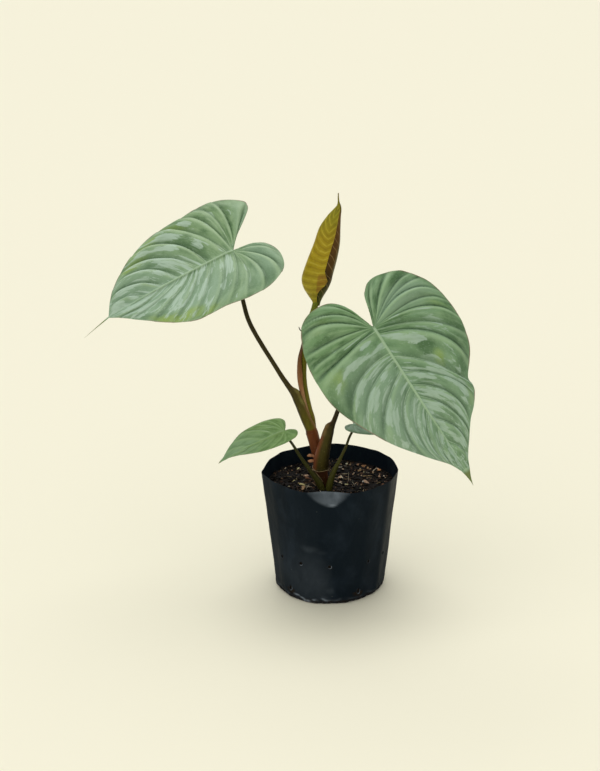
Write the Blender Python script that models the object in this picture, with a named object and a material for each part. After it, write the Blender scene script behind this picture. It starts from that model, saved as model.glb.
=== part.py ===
"""Potted silver-leaf philodendron in a black film grow bag.

The frame is in metres with +Z up. Its origin is the middle of the bag's base, on the
surface that the bag stands on, and the plant faces -Y. Shapes are worked out in
millimetres and scaled by MM. Places on the plant are measured up from the mix, so the
plant rises and sinks with it.
"""

import math
from dataclasses import dataclass

import bmesh
import bpy
import numpy as np
from mathutils import Euler, Matrix, Vector, noise

MM = 0.001
CLEARANCE = 0.3  # mm left between pieces that touch
BLADE_GAP = 0.6  # mm left between a petiole's end and its blade

# Grow bag, mm
BAG_HEIGHT = 118.0
BAG_MOUTH_RADIUS = 64.5
BAG_BASE_RADIUS = 51.5
BAG_WALL = 0.8
BAG_FLOOR = 0.8
BAG_CORNER = 3.0  # radius of the fold round the base
DRAIN_DIAMETER = 3.6
DRAIN_CUT = 8.0  # how deep the holes are cut, through the wall alone
UPPER_DRAIN_HEIGHT = 42.0
LOWER_DRAIN_HEIGHT = 12.0

# Potting mix, mm
HEADSPACE = 15.5  # from the mix up to the bag's rim
MIX_LEVEL = BAG_HEIGHT - HEADSPACE
MIX_MOUND = 2.0  # extra height round the stem
MOUND_MIDDLE = (-7.0, -9.0)
MOUND_SPREAD = 22.0
MIX_RIPPLE = 0.6

# Plant, mm
STEM_RADIUS = 5.8
STEM_DEPTH = 24.0  # how far the stem's foot reaches below the mix
PETIOLE_RADIUS = 2.1
NEW_PETIOLE_RADIUS = 2.9
CATAPHYLL_THICKNESS = 1.2
SMALL_PETIOLE_RADIUS = 1.3
BLADE_THICKNESS = 0.9
ROOT_RADIUS = 1.6
ROOT_POCKET = 4.0  # space under the stem's foot where the roots start
LEFT_LEAF_LENGTH = 127.0
RIGHT_LEAF_LENGTH = 152.0
SMALL_LEAF_LENGTH = 65.0
SPROUT_LEAF_LENGTH = 52.0
ROLLED_LEAF_DEPTH = 0.62  # front-to-back size of the rolled leaf, as a share of its width

# The film stands in flats between soft folds, and the filled base is nearly round:
# plan angle in degrees, then the share of the radius at the mouth and at the base.
FOLDS = [
    (-169, 1.015, 0.97), (-146, 0.97, 0.96), (-132, 0.985, 0.98), (-111, 1.02, 1.02),
    (-92, 0.96, 0.99), (-72, 1.02, 0.99), (-55, 1.0, 0.98), (-30, 0.99, 1.0),
    (-4, 1.01, 1.04), (14, 0.995, 1.07), (27, 1.02, 1.05), (44, 1.03, 1.02),
    (68, 1.025, 1.0), (84, 1.04, 1.0), (106, 0.965, 1.0), (136, 0.965, 1.0), (159, 0.945, 1.0),
]
POINTS_PER_FLAT = 3

# Plan angles of the drain holes, in degrees
UPPER_DRAINS = [-141, -119, -91, -50, -27, 27, 50, 91, 119, 141]
LOWER_DRAINS = [-133, -60, 60, 133]


# ---------------------------------------------------------------- finishes


def finish(name, colour, roughness, metallic=0.0):
    """A Principled material in one colour."""
    material = bpy.data.materials.new(name)
    material.use_nodes = True
    shader = material.node_tree.nodes["Principled BSDF"]
    shader.inputs["Base Color"].default_value = (*colour, 1.0)
    shader.inputs["Roughness"].default_value = roughness
    shader.inputs["Metallic"].default_value = metallic
    return material


FINISHES = {
    "film": ((0.010, 0.012, 0.018), 0.35),
    "mix": ((0.020, 0.014, 0.010), 0.95),
    "bark": ((0.30, 0.17, 0.10), 0.85),
    "perlite": ((0.68, 0.62, 0.48), 0.9),
    "leaf": ((0.20, 0.34, 0.20), 0.42),
    "new_leaf": ((0.36, 0.28, 0.03), 0.35),
    "stem": ((0.13, 0.045, 0.02), 0.5),
    "petiole": ((0.06, 0.055, 0.015), 0.45),
    "sheath": ((0.17, 0.18, 0.03), 0.45),
    "root": ((0.45, 0.36, 0.22), 0.8),
}


def add_object(name, mesh, finish_name):
    """A new object in the scene, with its own material."""
    thing = bpy.data.objects.new(name, mesh)
    bpy.context.scene.collection.objects.link(thing)
    mesh.materials.append(finish(f"{name}_{finish_name}", *FINISHES[finish_name]))
    return thing


def hide_cutter(thing):
    """Keeps a cutter out of the model."""
    thing.hide_render = True
    thing.display_type = "WIRE"
    return thing


def cut(thing, cutter):
    """Subtracts a cutter with a Boolean that stays on the object."""
    modifier = thing.modifiers.new(f"cut_{cutter.name}", "BOOLEAN")
    modifier.operation = "DIFFERENCE"
    modifier.solver = "EXACT"
    modifier.object = hide_cutter(cutter)


def smooth(mesh, angle=40):
    """Smooth shading, with edges kept where the surface turns sharply."""
    mesh.shade_smooth()
    mesh.set_sharp_from_angle(angle=math.radians(angle))


# ---------------------------------------------------------------- shapes


def spline(rows, per_span):
    """Rows read from a Catmull-Rom curve that goes through the given rows."""
    rows = np.array(rows, float)
    ends = np.vstack([2 * rows[0] - rows[1], rows, 2 * rows[-1] - rows[-2]])
    found = []
    for before, start, end, after in zip(ends, ends[1:], ends[2:], ends[3:]):
        for step in range(per_span):
            u = step / per_span
            found.append(
                0.5 * (
                    2 * start
                    + (end - before) * u
                    + (2 * before - 5 * start + 4 * end - after) * u**2
                    + (3 * start - before - 3 * end + after) * u**3
                )
            )
    found.append(rows[-1])
    return np.array(found)


def loft(name, rings, finish_name):
    """A closed solid through rings of points (mm), with a flat cap on its first and last ring.

    The sides are triangles cut along the same diagonal, so that nested lofts keep their gap.
    """
    mesh = bpy.data.meshes.new(name)
    shape = bmesh.new()
    loops = [[shape.verts.new(Vector(p) * MM) for p in ring] for ring in rings]
    shape.faces.new(reversed(loops[0]))
    shape.faces.new(loops[-1])
    for low, high in zip(loops, loops[1:]):
        for i in range(len(low)):
            j = (i + 1) % len(low)
            if low[i].co.z <= high[i].co.z:
                shape.faces.new((low[i], low[j], high[j]))
                shape.faces.new((low[i], high[j], high[i]))
            else:
                shape.faces.new((low[i], low[j], high[i]))
                shape.faces.new((low[j], high[j], high[i]))
    bmesh.ops.recalc_face_normals(shape, faces=shape.faces)
    shape.to_mesh(mesh)
    shape.free()
    smooth(mesh)
    return add_object(name, mesh, finish_name)


def tube(name, route, finish_name, per_span=3, sides=2, grow=0.0):
    """A round bar along rows (x, y, z, radius) in mm, thickened all over by grow."""
    curve = bpy.data.curves.new(name, "CURVE")
    curve.dimensions = "3D"
    curve.bevel_depth = MM
    curve.bevel_resolution = sides
    curve.use_fill_caps = True
    rows = spline(route, per_span)
    line = curve.splines.new("POLY")
    line.points.add(len(rows) - 1)
    for point, row in zip(line.points, rows):
        point.co = (*(row[:3] * MM), 1.0)
        point.radius = row[3] + grow
    holder = bpy.data.objects.new(name, curve)
    bpy.context.scene.collection.objects.link(holder)
    bpy.context.view_layer.update()
    solid = holder.evaluated_get(bpy.context.evaluated_depsgraph_get())
    mesh = bpy.data.meshes.new_from_object(solid)
    bpy.data.objects.remove(holder)
    shape = bmesh.new()
    shape.from_mesh(mesh)
    bmesh.ops.remove_doubles(shape, verts=shape.verts, dist=1e-6)
    bmesh.ops.recalc_face_normals(shape, faces=shape.faces)
    shape.to_mesh(mesh)
    shape.free()
    mesh.materials.clear()
    smooth(mesh)
    return add_object(name, mesh, finish_name)


def stretched(route, start, end):
    """The route made longer in a straight line at its start and end, by mm."""
    rows = np.array(route, float)
    first, last = rows[0].copy(), rows[-1].copy()
    ahead = rows[0, :3] - rows[1, :3]
    beyond = rows[-1, :3] - rows[-2, :3]
    first[:3] += ahead / np.linalg.norm(ahead) * start
    last[:3] += beyond / np.linalg.norm(beyond) * end
    return np.vstack([first, rows[1:-1], last])


def lump(name, place, size, turn, seed, finish_name):
    """A broken, angular grain resting on the mix at (x, y), with its size and turn."""
    mesh = bpy.data.meshes.new(name)
    shape = bmesh.new()
    bmesh.ops.create_icosphere(shape, subdivisions=1, radius=0.5)
    for vert in shape.verts:
        vert.co *= 1 + 0.35 * noise.noise(vert.co * 2.2 + Vector((seed, 0, 0)))
    shape.transform(
        Euler((0, 0, math.radians(turn))).to_matrix().to_4x4()
        @ Matrix.Diagonal((*(Vector(size) * MM), 1))
    )
    shape.to_mesh(mesh)
    shape.free()
    reach = max(size[0], size[1]) / 2
    under = max(
        mix_height(place[0] + reach * math.cos(a), place[1] + reach * math.sin(a))
        for a in np.linspace(0, 2 * math.pi, 8, endpoint=False)
    )
    grain = add_object(name, mesh, finish_name)
    grain.location = Vector((*place, max(under, mix_height(*place)) + CLEARANCE)) * MM
    grain.location.z -= min(vert.co.z for vert in mesh.vertices)
    return grain


# ---------------------------------------------------------------- bag and mix


def fold_outline(folded):
    """Plan angles and shares of the radius, straight between the folds.

    folded runs from 0 at the base to 1 at the rim.
    """
    corners = []
    for degrees, mouth, base in FOLDS:
        angle = math.radians(degrees)
        share = base + (mouth - base) * folded
        corners.append(np.array([share * math.cos(angle), share * math.sin(angle)]))
    steps = [step / POINTS_PER_FLAT for step in range(POINTS_PER_FLAT)]
    flats = [
        start + (end - start) * step
        for start, end in zip(corners, corners[1:] + corners[:1])
        for step in steps
    ]
    return [(math.atan2(y, x), math.hypot(x, y)) for x, y in flats]


def bag_radius(height):
    """Radius of the bag without its folds."""
    return BAG_BASE_RADIUS + (BAG_MOUTH_RADIUS - BAG_BASE_RADIUS) * height / BAG_HEIGHT


def bag_ring(height, inset=0.0, scale=1.0, level=None):
    """Points round the bag at a height, moved in by inset and scaled about the middle."""
    points = []
    for angle, share in fold_outline(height / BAG_HEIGHT):
        radius = (bag_radius(height) * share - inset) * scale
        x, y = radius * math.cos(angle), radius * math.sin(angle)
        points.append((x, y, level(x, y) if level else height))
    return points


def drain_cutter():
    """Short pins through the bag's wall, one for each drain hole, in one object."""
    shape = bmesh.new()
    rows = [(UPPER_DRAIN_HEIGHT, UPPER_DRAINS), (LOWER_DRAIN_HEIGHT, LOWER_DRAINS)]
    for height, angles in rows:
        for angle in map(math.radians, angles):
            middle = Vector((math.cos(angle), math.sin(angle), 0)) * bag_radius(height)
            middle.z = height
            bmesh.ops.create_cone(
                shape, cap_ends=True, segments=10, depth=DRAIN_CUT * MM,
                radius1=DRAIN_DIAMETER / 2 * MM, radius2=DRAIN_DIAMETER / 2 * MM,
                matrix=Matrix.Translation(middle * MM)
                @ Euler((0, math.radians(90), angle)).to_matrix().to_4x4(),
            )
    mesh = bpy.data.meshes.new("drain_cutter")
    shape.to_mesh(mesh)
    shape.free()
    return add_object("drain_cutter", mesh, "film")


def make_bag():
    """The film bag: one closed shell with an open mouth and drain holes."""
    outside = [bag_ring(BAG_CORNER, inset=BAG_CORNER, level=lambda x, y: 0.0)]
    outside += [bag_ring(BAG_CORNER, inset=BAG_CORNER * 0.3, level=lambda x, y: BAG_CORNER * 0.3)]
    outside += [bag_ring(h) for h in (BAG_CORNER, BAG_HEIGHT * 0.35, BAG_HEIGHT * 0.7, BAG_HEIGHT)]
    heights = (BAG_HEIGHT, BAG_HEIGHT * 0.7, BAG_HEIGHT * 0.35, BAG_CORNER)
    inside = [bag_ring(h, inset=BAG_WALL) for h in heights]
    inside += [bag_ring(BAG_CORNER, inset=BAG_CORNER + BAG_WALL, level=lambda x, y: BAG_FLOOR)]
    bag = loft("grow_bag", outside + inside, "film")
    cut(bag, drain_cutter())
    return bag


def mix_height(x, y):
    """Height of the mix's top at a place in plan, mm."""
    away = math.hypot(x - MOUND_MIDDLE[0], y - MOUND_MIDDLE[1])
    mound = MIX_MOUND * math.exp(-((away / MOUND_SPREAD) ** 2))
    ripple = math.sin(x / 7.0 + 1.0) * math.sin(y / 8.0) + 0.5 * math.sin((x - y) / 4.5)
    return MIX_LEVEL + mound + MIX_RIPPLE * ripple


def make_mix(sockets):
    """The potting mix, which fills the bag and is hollowed where the plant stands in it."""
    gap = BAG_WALL + CLEARANCE
    floor = BAG_FLOOR + CLEARANCE
    rings = [bag_ring(BAG_CORNER, inset=BAG_CORNER + gap, level=lambda x, y: floor)]
    rings += [bag_ring(BAG_CORNER + CLEARANCE, inset=gap)]
    rings += [bag_ring(h, inset=gap) for h in (BAG_HEIGHT * 0.35, BAG_HEIGHT * 0.7)]
    for scale in (1.0, 0.86, 0.7, 0.54, 0.38, 0.22, 0.08):
        rings.append(bag_ring(MIX_LEVEL, inset=gap, scale=scale, level=mix_height))
    mix = loft("potting_mix", rings, "mix")
    for socket in sockets:
        cut(mix, socket)
    return mix


# ---------------------------------------------------------------- leaves


MARGIN_STEPS = 8  # points read from a margin between two of its marks
VEIN_LEAN = 1.35  # how much the grid lines crowd towards the tip
CREASE = 6.0  # width of the rounded crease along the midrib, mm


@dataclass(frozen=True)
class Blade:
    """A heart-shaped leaf blade, drawn flat and then bent.

    The margins run from the notch to the tip, as (along, across) in percent of the length;
    left is towards +across. Angles are in degrees, and the other shapes in shares.
    """

    name: str
    place: tuple[float, float, float]  # where the petiole meets it, mm, up from the mix
    heading: float
    droop: float
    roll: float
    length: float
    left: tuple
    right: tuple
    drip_tip: float  # length of the thin tip, mm
    tip_half_width: float  # mm
    tip_slope: float
    bend: float  # sideways bend of the midrib at the tip, mm
    arch: float
    fold: float
    recurve: float
    lobe_drop: float
    lines: int = 20
    across: int = 5
    finish: str = "leaf"

    def turned(self):
        """Rotation of the blade: x along the midrib, z out of its upper face."""
        return Euler(map(math.radians, (self.roll, self.droop, self.heading)))

    def under(self, depth):
        """The place this far below the upper face at the petiole, mm up from the mix."""
        return tuple(Vector(self.place) - self.turned().to_matrix() @ Vector((0, 0, depth)))

    def height(self, along, across):
        """How far the bent blade stands above its flat outline, mm."""
        length = self.length
        crease = math.hypot(across, CREASE) - CREASE
        return (
            self.fold * crease
            - self.arch * max(along, 0) ** 2 / length
            - self.lobe_drop * min(along, 0) ** 2 / length
            - self.recurve * across**2 / (0.54 * length)
        )

    def middle(self, along):
        """The midrib's sideways place."""
        share = along / self.length
        if share <= 1:
            return self.bend * share**2
        return self.bend + (along - self.length) * self.tip_slope

    def edge(self, margin, side):
        """The smooth margin from notch to tip, with how far along it each point lies (0 to 1)."""
        outline = np.array(margin, float) / 100 * self.length
        apex = (self.length, self.middle(self.length) + side * self.tip_half_width)
        points = spline(np.vstack([[0, 0], outline, apex]), MARGIN_STEPS)
        run = np.concatenate([[0], np.cumsum(np.linalg.norm(np.diff(points, axis=0), axis=1))])
        return points, run / run[-1]

    def shoulder(self):
        """The share of the margin that belongs to the basal lobe, the same for both sides."""
        shares = []
        for margin, side in ((self.left, 1), (self.right, -1)):
            points, run = self.edge(margin, side)
            shares.append(run[np.argmax(points[:, 1] * side)])
        return sum(shares) / 2

    def half(self, margin, side):
        """Rows of flat points, one for each line from the midrib out to the margin."""
        points, run = self.edge(margin, side)
        shoulder = self.shoulder()
        rows = []
        for u in np.linspace(0, 1, self.lines):
            out = np.array([np.interp(u, run, points[:, k]) for k in (0, 1)])
            ahead = max(0.0, (u - shoulder) / (1 - shoulder)) ** VEIN_LEAN * self.length
            start = np.array([ahead, self.middle(ahead)])
            swept = np.array([ahead + 0.35 * (out[0] - ahead), start[1] + 0.7 * (out[1] - start[1])])
            ease = min(1.0, u / shoulder)
            bent = (start + out) / 2 * (1 - ease) + swept * ease
            rows.append([
                (1 - r) ** 2 * start + 2 * r * (1 - r) * bent + r**2 * out
                for r in np.linspace(0, 1, self.across + 1)
            ])
        for v in (0.35, 0.7, 1.0):
            ahead = self.length + v * self.drip_tip
            width = self.tip_half_width * (1 - v) ** 1.3 + 0.35
            rows.append([
                np.array([ahead, self.middle(ahead) + side * width * r])
                for r in np.linspace(0, 1, self.across + 1)
            ])
        return rows

    def make(self):
        """Builds the blade as a thin closed solid that hangs below its upper face."""
        shape = bmesh.new()
        for margin, side in ((self.left, 1), (self.right, -1)):
            grid = [
                [shape.verts.new((s * MM, t * MM, self.height(s, t) * MM)) for s, t in row]
                for row in self.half(margin, side)
            ]
            for low, high in zip(grid, grid[1:]):
                for i in range(self.across):
                    face = (low[i], high[i], high[i + 1], low[i + 1])
                    shape.faces.new(face if side > 0 else reversed(face))
        bmesh.ops.remove_doubles(shape, verts=shape.verts, dist=2e-5)
        mesh = bpy.data.meshes.new(self.name)
        shape.to_mesh(mesh)
        shape.free()
        smooth(mesh, 60)
        leaf = add_object(self.name, mesh, self.finish)
        leaf.location = Vector(planted([self.place])[0]) * MM
        leaf.rotation_euler = self.turned()
        wall = leaf.modifiers.new("thickness", "SOLIDIFY")
        wall.thickness = BLADE_THICKNESS * MM
        wall.offset = -1
        return leaf


LEFT_LEAF = Blade(
    name="leaf_left", place=(-89, 5, 225.5), heading=-163, droop=23, roll=-27,
    length=LEFT_LEAF_LENGTH,
    right=((-2, -4.5), (-6, -11), (-18, -21), (-26, -30), (-28, -35.5), (-26.5, -41), (-13, -52),
           (1.5, -55.5), (21, -53.5), (38, -52.5), (54, -48), (70, -39.5), (85, -27), (93, -17)),
    left=((-4, 0.8), (-10, 2), (-20.5, 5), (-27, 17.5), (-26, 32.5), (-20, 41.5), (-7, 48),
          (10, 48.5), (24, 46), (37, 45.5), (49, 44), (65, 33.5), (80, 18), (92, 4)),
    drip_tip=28, tip_half_width=0.9, tip_slope=0.16, bend=-5,
    arch=0.08, fold=0.10, recurve=0.08, lobe_drop=0.12,
)
RIGHT_LEAF = Blade(
    name="leaf_right", place=(38, -38, 165), heading=-27, droop=53, roll=42,
    length=RIGHT_LEAF_LENGTH,
    right=((-5, -1), (-12, -2.8), (-20, -6.5), (-26.5, -15), (-27.5, -26.5), (-24, -34.5),
           (-17, -40), (-6.5, -44), (8.5, -46), (30, -44), (60, -29.5), (80.5, -13.5), (92, -3)),
    left=((-5.5, 1.4), (-18.5, 5), (-21.5, 7.5), (-24.5, 11.5), (-25.5, 18), (-24, 26), (-22, 32),
          (-19, 37), (-8, 46.5), (5, 51.5), (21.5, 53), (34, 50.5), (43, 46), (54, 36),
          (60, 35.8), (64.5, 34.5), (71, 29), (76.5, 23), (85.5, 16), (94, 10)),
    drip_tip=17, tip_half_width=4.2, tip_slope=-0.06, bend=7,
    arch=0.10, fold=0.10, recurve=0.26, lobe_drop=0.25, lines=24,
)
SMALL_LEAF = Blade(
    name="leaf_small_left", place=(-42.4, -20, 60.2), heading=-165, droop=20, roll=-35,
    length=SMALL_LEAF_LENGTH,
    right=((-3, -5), (-6.5, -11), (-6.5, -17.5), (0, -24), (17, -29), (38, -30), (58, -28),
           (77, -19), (87, -12.5), (94, -7)),
    left=((-8, 1), (-15.5, 5.5), (-16, 11.5), (-11, 16.5), (-1.5, 18.5), (12.5, 19), (35, 16.5),
          (55, 10.5), (73, 3), (88, -1.5)),
    drip_tip=3, tip_half_width=0.8, tip_slope=0.3, bend=-2,
    arch=0.10, fold=0.05, recurve=0.05, lobe_drop=0.10, lines=14, across=4,
)
SPROUT_LEAF = Blade(
    name="leaf_small_right", place=(22.6, -9, 63), heading=-4, droop=3, roll=30,
    length=SPROUT_LEAF_LENGTH,
    right=((-8, -1), (-15.5, -5.5), (-16, -11.5), (-11, -17), (-1.5, -20), (12.5, -22), (35, -21),
           (55, -16), (73, -9), (88, -4)),
    left=((-3, 5), (-6.5, 11), (-6.5, 17.5), (0, 24), (17, 28), (38, 28), (58, 24),
          (77, 16), (87, 10), (94, 6)),
    drip_tip=3, tip_half_width=0.8, tip_slope=0.0, bend=1,
    arch=0.10, fold=0.08, recurve=0.05, lobe_drop=0.10, lines=14, across=4,
)
BLADES = (LEFT_LEAF, RIGHT_LEAF, SMALL_LEAF, SPROUT_LEAF)

# Sections of the rolled leaf, up from the top of its petiole: the middle (x, y, z) and half the width
ROLLED_SECTIONS = [
    (0.6, 0, 1.2, 2.6), (-0.4, 0, 7, 7.2), (-0.6, -0.4, 13, 10.8), (-0.4, -1, 20, 12.9),
    (1.4, -2, 31, 13.2), (5.4, -3, 45, 12.6), (8.6, -4, 59, 10.8), (11.6, -4, 72, 8.0),
    (14.4, -4, 81, 5.6), (18.4, -3, 89, 3.2), (20.2, -2, 94, 0.9), (20.0, -2, 101, 0.4),
]


# ---------------------------------------------------------------- stems


def planted(rows):
    """Rows that were measured up from the mix, in the part's own frame."""
    return [(x, y, z + MIX_LEVEL, *rest) for x, y, z, *rest in rows]


def onward(route, distance):
    """The place past the end of a route, straight on."""
    last, before = (np.array(row[:3]) for row in (route[-1], route[-2]))
    return tuple(last + (last - before) / np.linalg.norm(last - before) * distance)


# Rows (x, y, height above the mix, radius), from the foot of each piece up
STEM_ROUTE = [
    (-7, -9, -STEM_DEPTH, STEM_RADIUS * 0.7), (-7, -8.8, 6 - STEM_DEPTH, STEM_RADIUS * 0.95),
    (-7.1, -8, 0, STEM_RADIUS * 1.04), (-8.2, -7, 18.5, STEM_RADIUS),
    (-12, -5, 35.5, STEM_RADIUS * 0.98), (-17, -3, 53, STEM_RADIUS * 0.97),
]


LEFT_PETIOLE_ROUTE = [
    (*onward(STEM_ROUTE, CLEARANCE * 2), STEM_RADIUS * 0.9),
    (*onward(STEM_ROUTE, 5), STEM_RADIUS * 0.88),
    (-23.3, -2.5, 69, STEM_RADIUS * 0.86), (-27.1, -2, 78.7, STEM_RADIUS * 0.82),
    (-30.5, -1.5, 86, STEM_RADIUS * 0.76), (-33.8, -1, 91.5, STEM_RADIUS * 0.68),
    (-38.2, -0.5, 97, PETIOLE_RADIUS * 1.3), (-45.2, 0, 107.5, PETIOLE_RADIUS * 1.1),
    (-53.4, 1, 121, PETIOLE_RADIUS), (-61.8, 2, 134.7, PETIOLE_RADIUS),
    (-69.7, 3.5, 148.2, PETIOLE_RADIUS), (-76, 5.5, 161.3, PETIOLE_RADIUS),
    (-80.1, 8.5, 176, PETIOLE_RADIUS * 0.95), (-82.5, 11, 188, PETIOLE_RADIUS * 0.9),
    (-84.8, 12.5, 203, PETIOLE_RADIUS * 0.9),
]
RIGHT_PETIOLE_ROUTE = [
    (-8.4, -11.3, 20, STEM_RADIUS * 1.26), (-8, -11.6, 26, STEM_RADIUS * 1.26),
    (-6.5, -12.3, 34.5, STEM_RADIUS * 1.17), (-3.3, -13.5, 46, STEM_RADIUS * 0.97),
    (-0.5, -15.6, 58.5, STEM_RADIUS * 0.82), (1.4, -17, 64.5, PETIOLE_RADIUS * 1.6),
    (3.6, -18.5, 70, PETIOLE_RADIUS * 1.1), (9.7, -20.5, 88.5, PETIOLE_RADIUS),
    (17.7, -21, 108.5, PETIOLE_RADIUS), (25.8, -18, 129.5, PETIOLE_RADIUS),
    (31, -17, 144, PETIOLE_RADIUS * 0.95), (33.8, -20.5, 154, PETIOLE_RADIUS * 0.9),
]
NEW_PETIOLE_ROUTE = [
    (-14.4, -1.5, 57.5, NEW_PETIOLE_RADIUS * 0.6), (-16.4, -0.8, 66.5, NEW_PETIOLE_RADIUS * 0.85),
    (-19.2, -0.2, 77.5, NEW_PETIOLE_RADIUS), (-23.5, 0, 99.5, NEW_PETIOLE_RADIUS),
    (-24.7, 0, 118.5, NEW_PETIOLE_RADIUS), (-23.6, 0, 137.5, NEW_PETIOLE_RADIUS),
    (-19.7, 1, 156.5, NEW_PETIOLE_RADIUS), (-15.6, 2, 169.5, NEW_PETIOLE_RADIUS),
    (-13.2, 2, 178.5, NEW_PETIOLE_RADIUS * 0.95),
]

# The two small petioles leave the stem below the mix and stand just in front of it.
SMALL_FOOT = STEM_ROUTE[2][1] - STEM_ROUTE[2][3] - 3.6
SMALL_LEFT_ROUTE = [
    (-6.6, SMALL_FOOT, -5.5, 2.0), (-7.5, SMALL_FOOT, 3, 2.4), (-11, SMALL_FOOT - 0.2, 10.5, 2.3),
    (-18.3, -18.6, 21.4, SMALL_PETIOLE_RADIUS * 1.4), (-27.4, -19.5, 34.8, SMALL_PETIOLE_RADIUS * 1.15),
    (-34.5, -19.9, 46.5, SMALL_PETIOLE_RADIUS),
]
SMALL_RIGHT_ROUTE = [
    (-1, SMALL_FOOT, -5.5, 2.6), (-0.7, SMALL_FOOT, 5, 3.2), (3, SMALL_FOOT + 0.8, 18.3, 3.0),
    (9.2, -15, 30.8, SMALL_PETIOLE_RADIUS * 1.7), (14.7, -13, 42, SMALL_PETIOLE_RADIUS * 1.2),
    (18.3, -10.8, 51, SMALL_PETIOLE_RADIUS),
]
SOCKET_ROWS = 3  # rows of a small petiole that its socket in the mix takes in

# The cataphyll clasps the new petiole closely in the sheath and stands off it higher up.
CATAPHYLL_ROWS = 18  # of the smoothed new petiole
CATAPHYLL_TIGHT_ROWS = 7
CATAPHYLL_SLACK = 1.4
CATAPHYLL_LEAN = 3.5
CATAPHYLL_WRAP = 170.0  # degrees


def to_blade(route, blade, lead):
    """The route led into a blade's underside, square to it, with a clearance."""
    radius = route[-1][3]
    reach = BLADE_THICKNESS + BLADE_GAP
    return route + [(*blade.under(reach + lead), radius), (*blade.under(reach), radius)]


def make_cataphyll():
    """The papery scale leaf that clasps the new petiole on its left side."""
    rings = []
    rows = spline(planted(NEW_PETIOLE_ROUTE), 3)[1:CATAPHYLL_ROWS]
    for step, (x, y, z, radius) in enumerate(rows):
        share = step / (CATAPHYLL_ROWS - 2)
        loose = min(1.0, max(0.0, (step - CATAPHYLL_TIGHT_ROWS) / 4))
        x -= CATAPHYLL_LEAN * max(0.0, share - 0.6) ** 2 / 0.16
        inner = radius + CLEARANCE + CATAPHYLL_SLACK * loose
        outer = inner + CATAPHYLL_THICKNESS * min(1.0, 0.3 + 3 * (1 - share))
        open_share = min(1.0, 0.12 + 1.7 * (1 - share), 0.4 + 6 * share)
        spread = math.radians(CATAPHYLL_WRAP) * open_share
        angles = np.linspace(math.pi - spread / 2, math.pi + spread / 2, 9) + 0.25
        out = [(x + outer * math.cos(a), y + outer * math.sin(a), z) for a in angles]
        back = [(x + inner * math.cos(a), y + inner * math.sin(a), z) for a in reversed(angles)]
        rings.append(out + back)
    return loft("cataphyll", rings, "sheath")


def make_rolled_leaf():
    """The new leaf, still rolled round itself."""
    top = Vector(planted(NEW_PETIOLE_ROUTE)[-1][:3])
    rings = []
    for x, y, z, half in spline(ROLLED_SECTIONS, 2):
        rings.append([
            top + Vector((x + half * math.cos(a), y + half * ROLLED_LEAF_DEPTH * math.sin(a), z))
            for a in np.linspace(0, 2 * math.pi, 16, endpoint=False)
        ])
    return loft("leaf_rolled", rings, "new_leaf")


ROOT_HEADINGS = (-150, -75, 0, 70, 145)  # plan directions, degrees
# Each step of a root: how far out it is, how far down, and its share of the radius
ROOT_STEPS = [(0.07, 0, 1.0), (0.25, 0.17, 1.0), (0.55, 0.4, 0.9), (0.83, 0.7, 0.75), (0.92, 1, 0.5)]
ROOT_WALL_GAP = 15.0  # left between the roots and the bag's wall and floor, mm


def root_route(heading):
    """Rows down one root, from under the stem's foot out towards the wall and the floor."""
    x, y, foot, _ = planted(STEM_ROUTE)[0]
    top = foot - CLEARANCE - ROOT_RADIUS * 0.4
    spread = BAG_BASE_RADIUS - ROOT_WALL_GAP
    out_x, out_y = math.cos(math.radians(heading)), math.sin(math.radians(heading))
    return [
        (x + out_x * away * spread, y + out_y * away * spread,
         top - down * (top - ROOT_WALL_GAP), ROOT_RADIUS * share)
        for away, down, share in ROOT_STEPS
    ]


# ---------------------------------------------------------------- grains on the mix

# Kind, plan angle in degrees, share of the mix's radius, size along, across and up, and turn
GRAINS = [
    ("bark", 144, 0.44, (7, 4.5, 3), 20), ("bark", 159, 0.36, (7.5, 4, 2.6), 10),
    ("bark", -143, 0.50, (11, 5, 3), -20), ("bark", 172, 0.74, (6, 4, 2.4), 60),
    ("bark", 39, 0.21, (6.5, 4.5, 3), -30), ("bark", -80, 0.60, (5.5, 4, 2.4), 40),
    ("bark", -3, 0.56, (7, 5, 3), 75), ("bark", -9, 0.84, (7, 6, 4), 35),
    ("bark", 43, 0.67, (8, 5, 3), -50), ("bark", 95, 0.69, (9, 5, 3), 15),
    ("bark", -138, 0.79, (6, 4, 2.2), -35), ("bark", 14, 0.81, (6, 4, 2.4), 120),
    ("perlite", -132, 0.83, (5, 4.5, 3.4), 0), ("perlite", -120, 0.86, (5.5, 4.5, 3.6), 50),
    ("perlite", -27, 0.29, (4.2, 3.6, 2.8), 10), ("perlite", -29, 0.75, (3.6, 3, 2.4), 70),
    ("perlite", 69, 0.81, (4.4, 4, 3), 30), ("perlite", 131, 0.74, (4.2, 3.4, 2.8), 80),
]


def make_grains():
    """Bark chips and perlite lying on the mix, numbered by kind."""
    radius = bag_radius(MIX_LEVEL) - BAG_WALL - CLEARANCE
    counts = {}
    for seed, (kind, heading, share, size, turn) in enumerate(GRAINS):
        counts[kind] = counts.get(kind, 0) + 1
        angle = math.radians(heading)
        place = (math.cos(angle) * share * radius, math.sin(angle) * share * radius)
        lump(f"{kind}_{counts[kind]}", place, size, turn, seed * 3.7, kind)


def clear_scene():
    """Removes whatever the scene starts with."""
    for thing in list(bpy.data.objects):
        bpy.data.objects.remove(thing)


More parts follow.
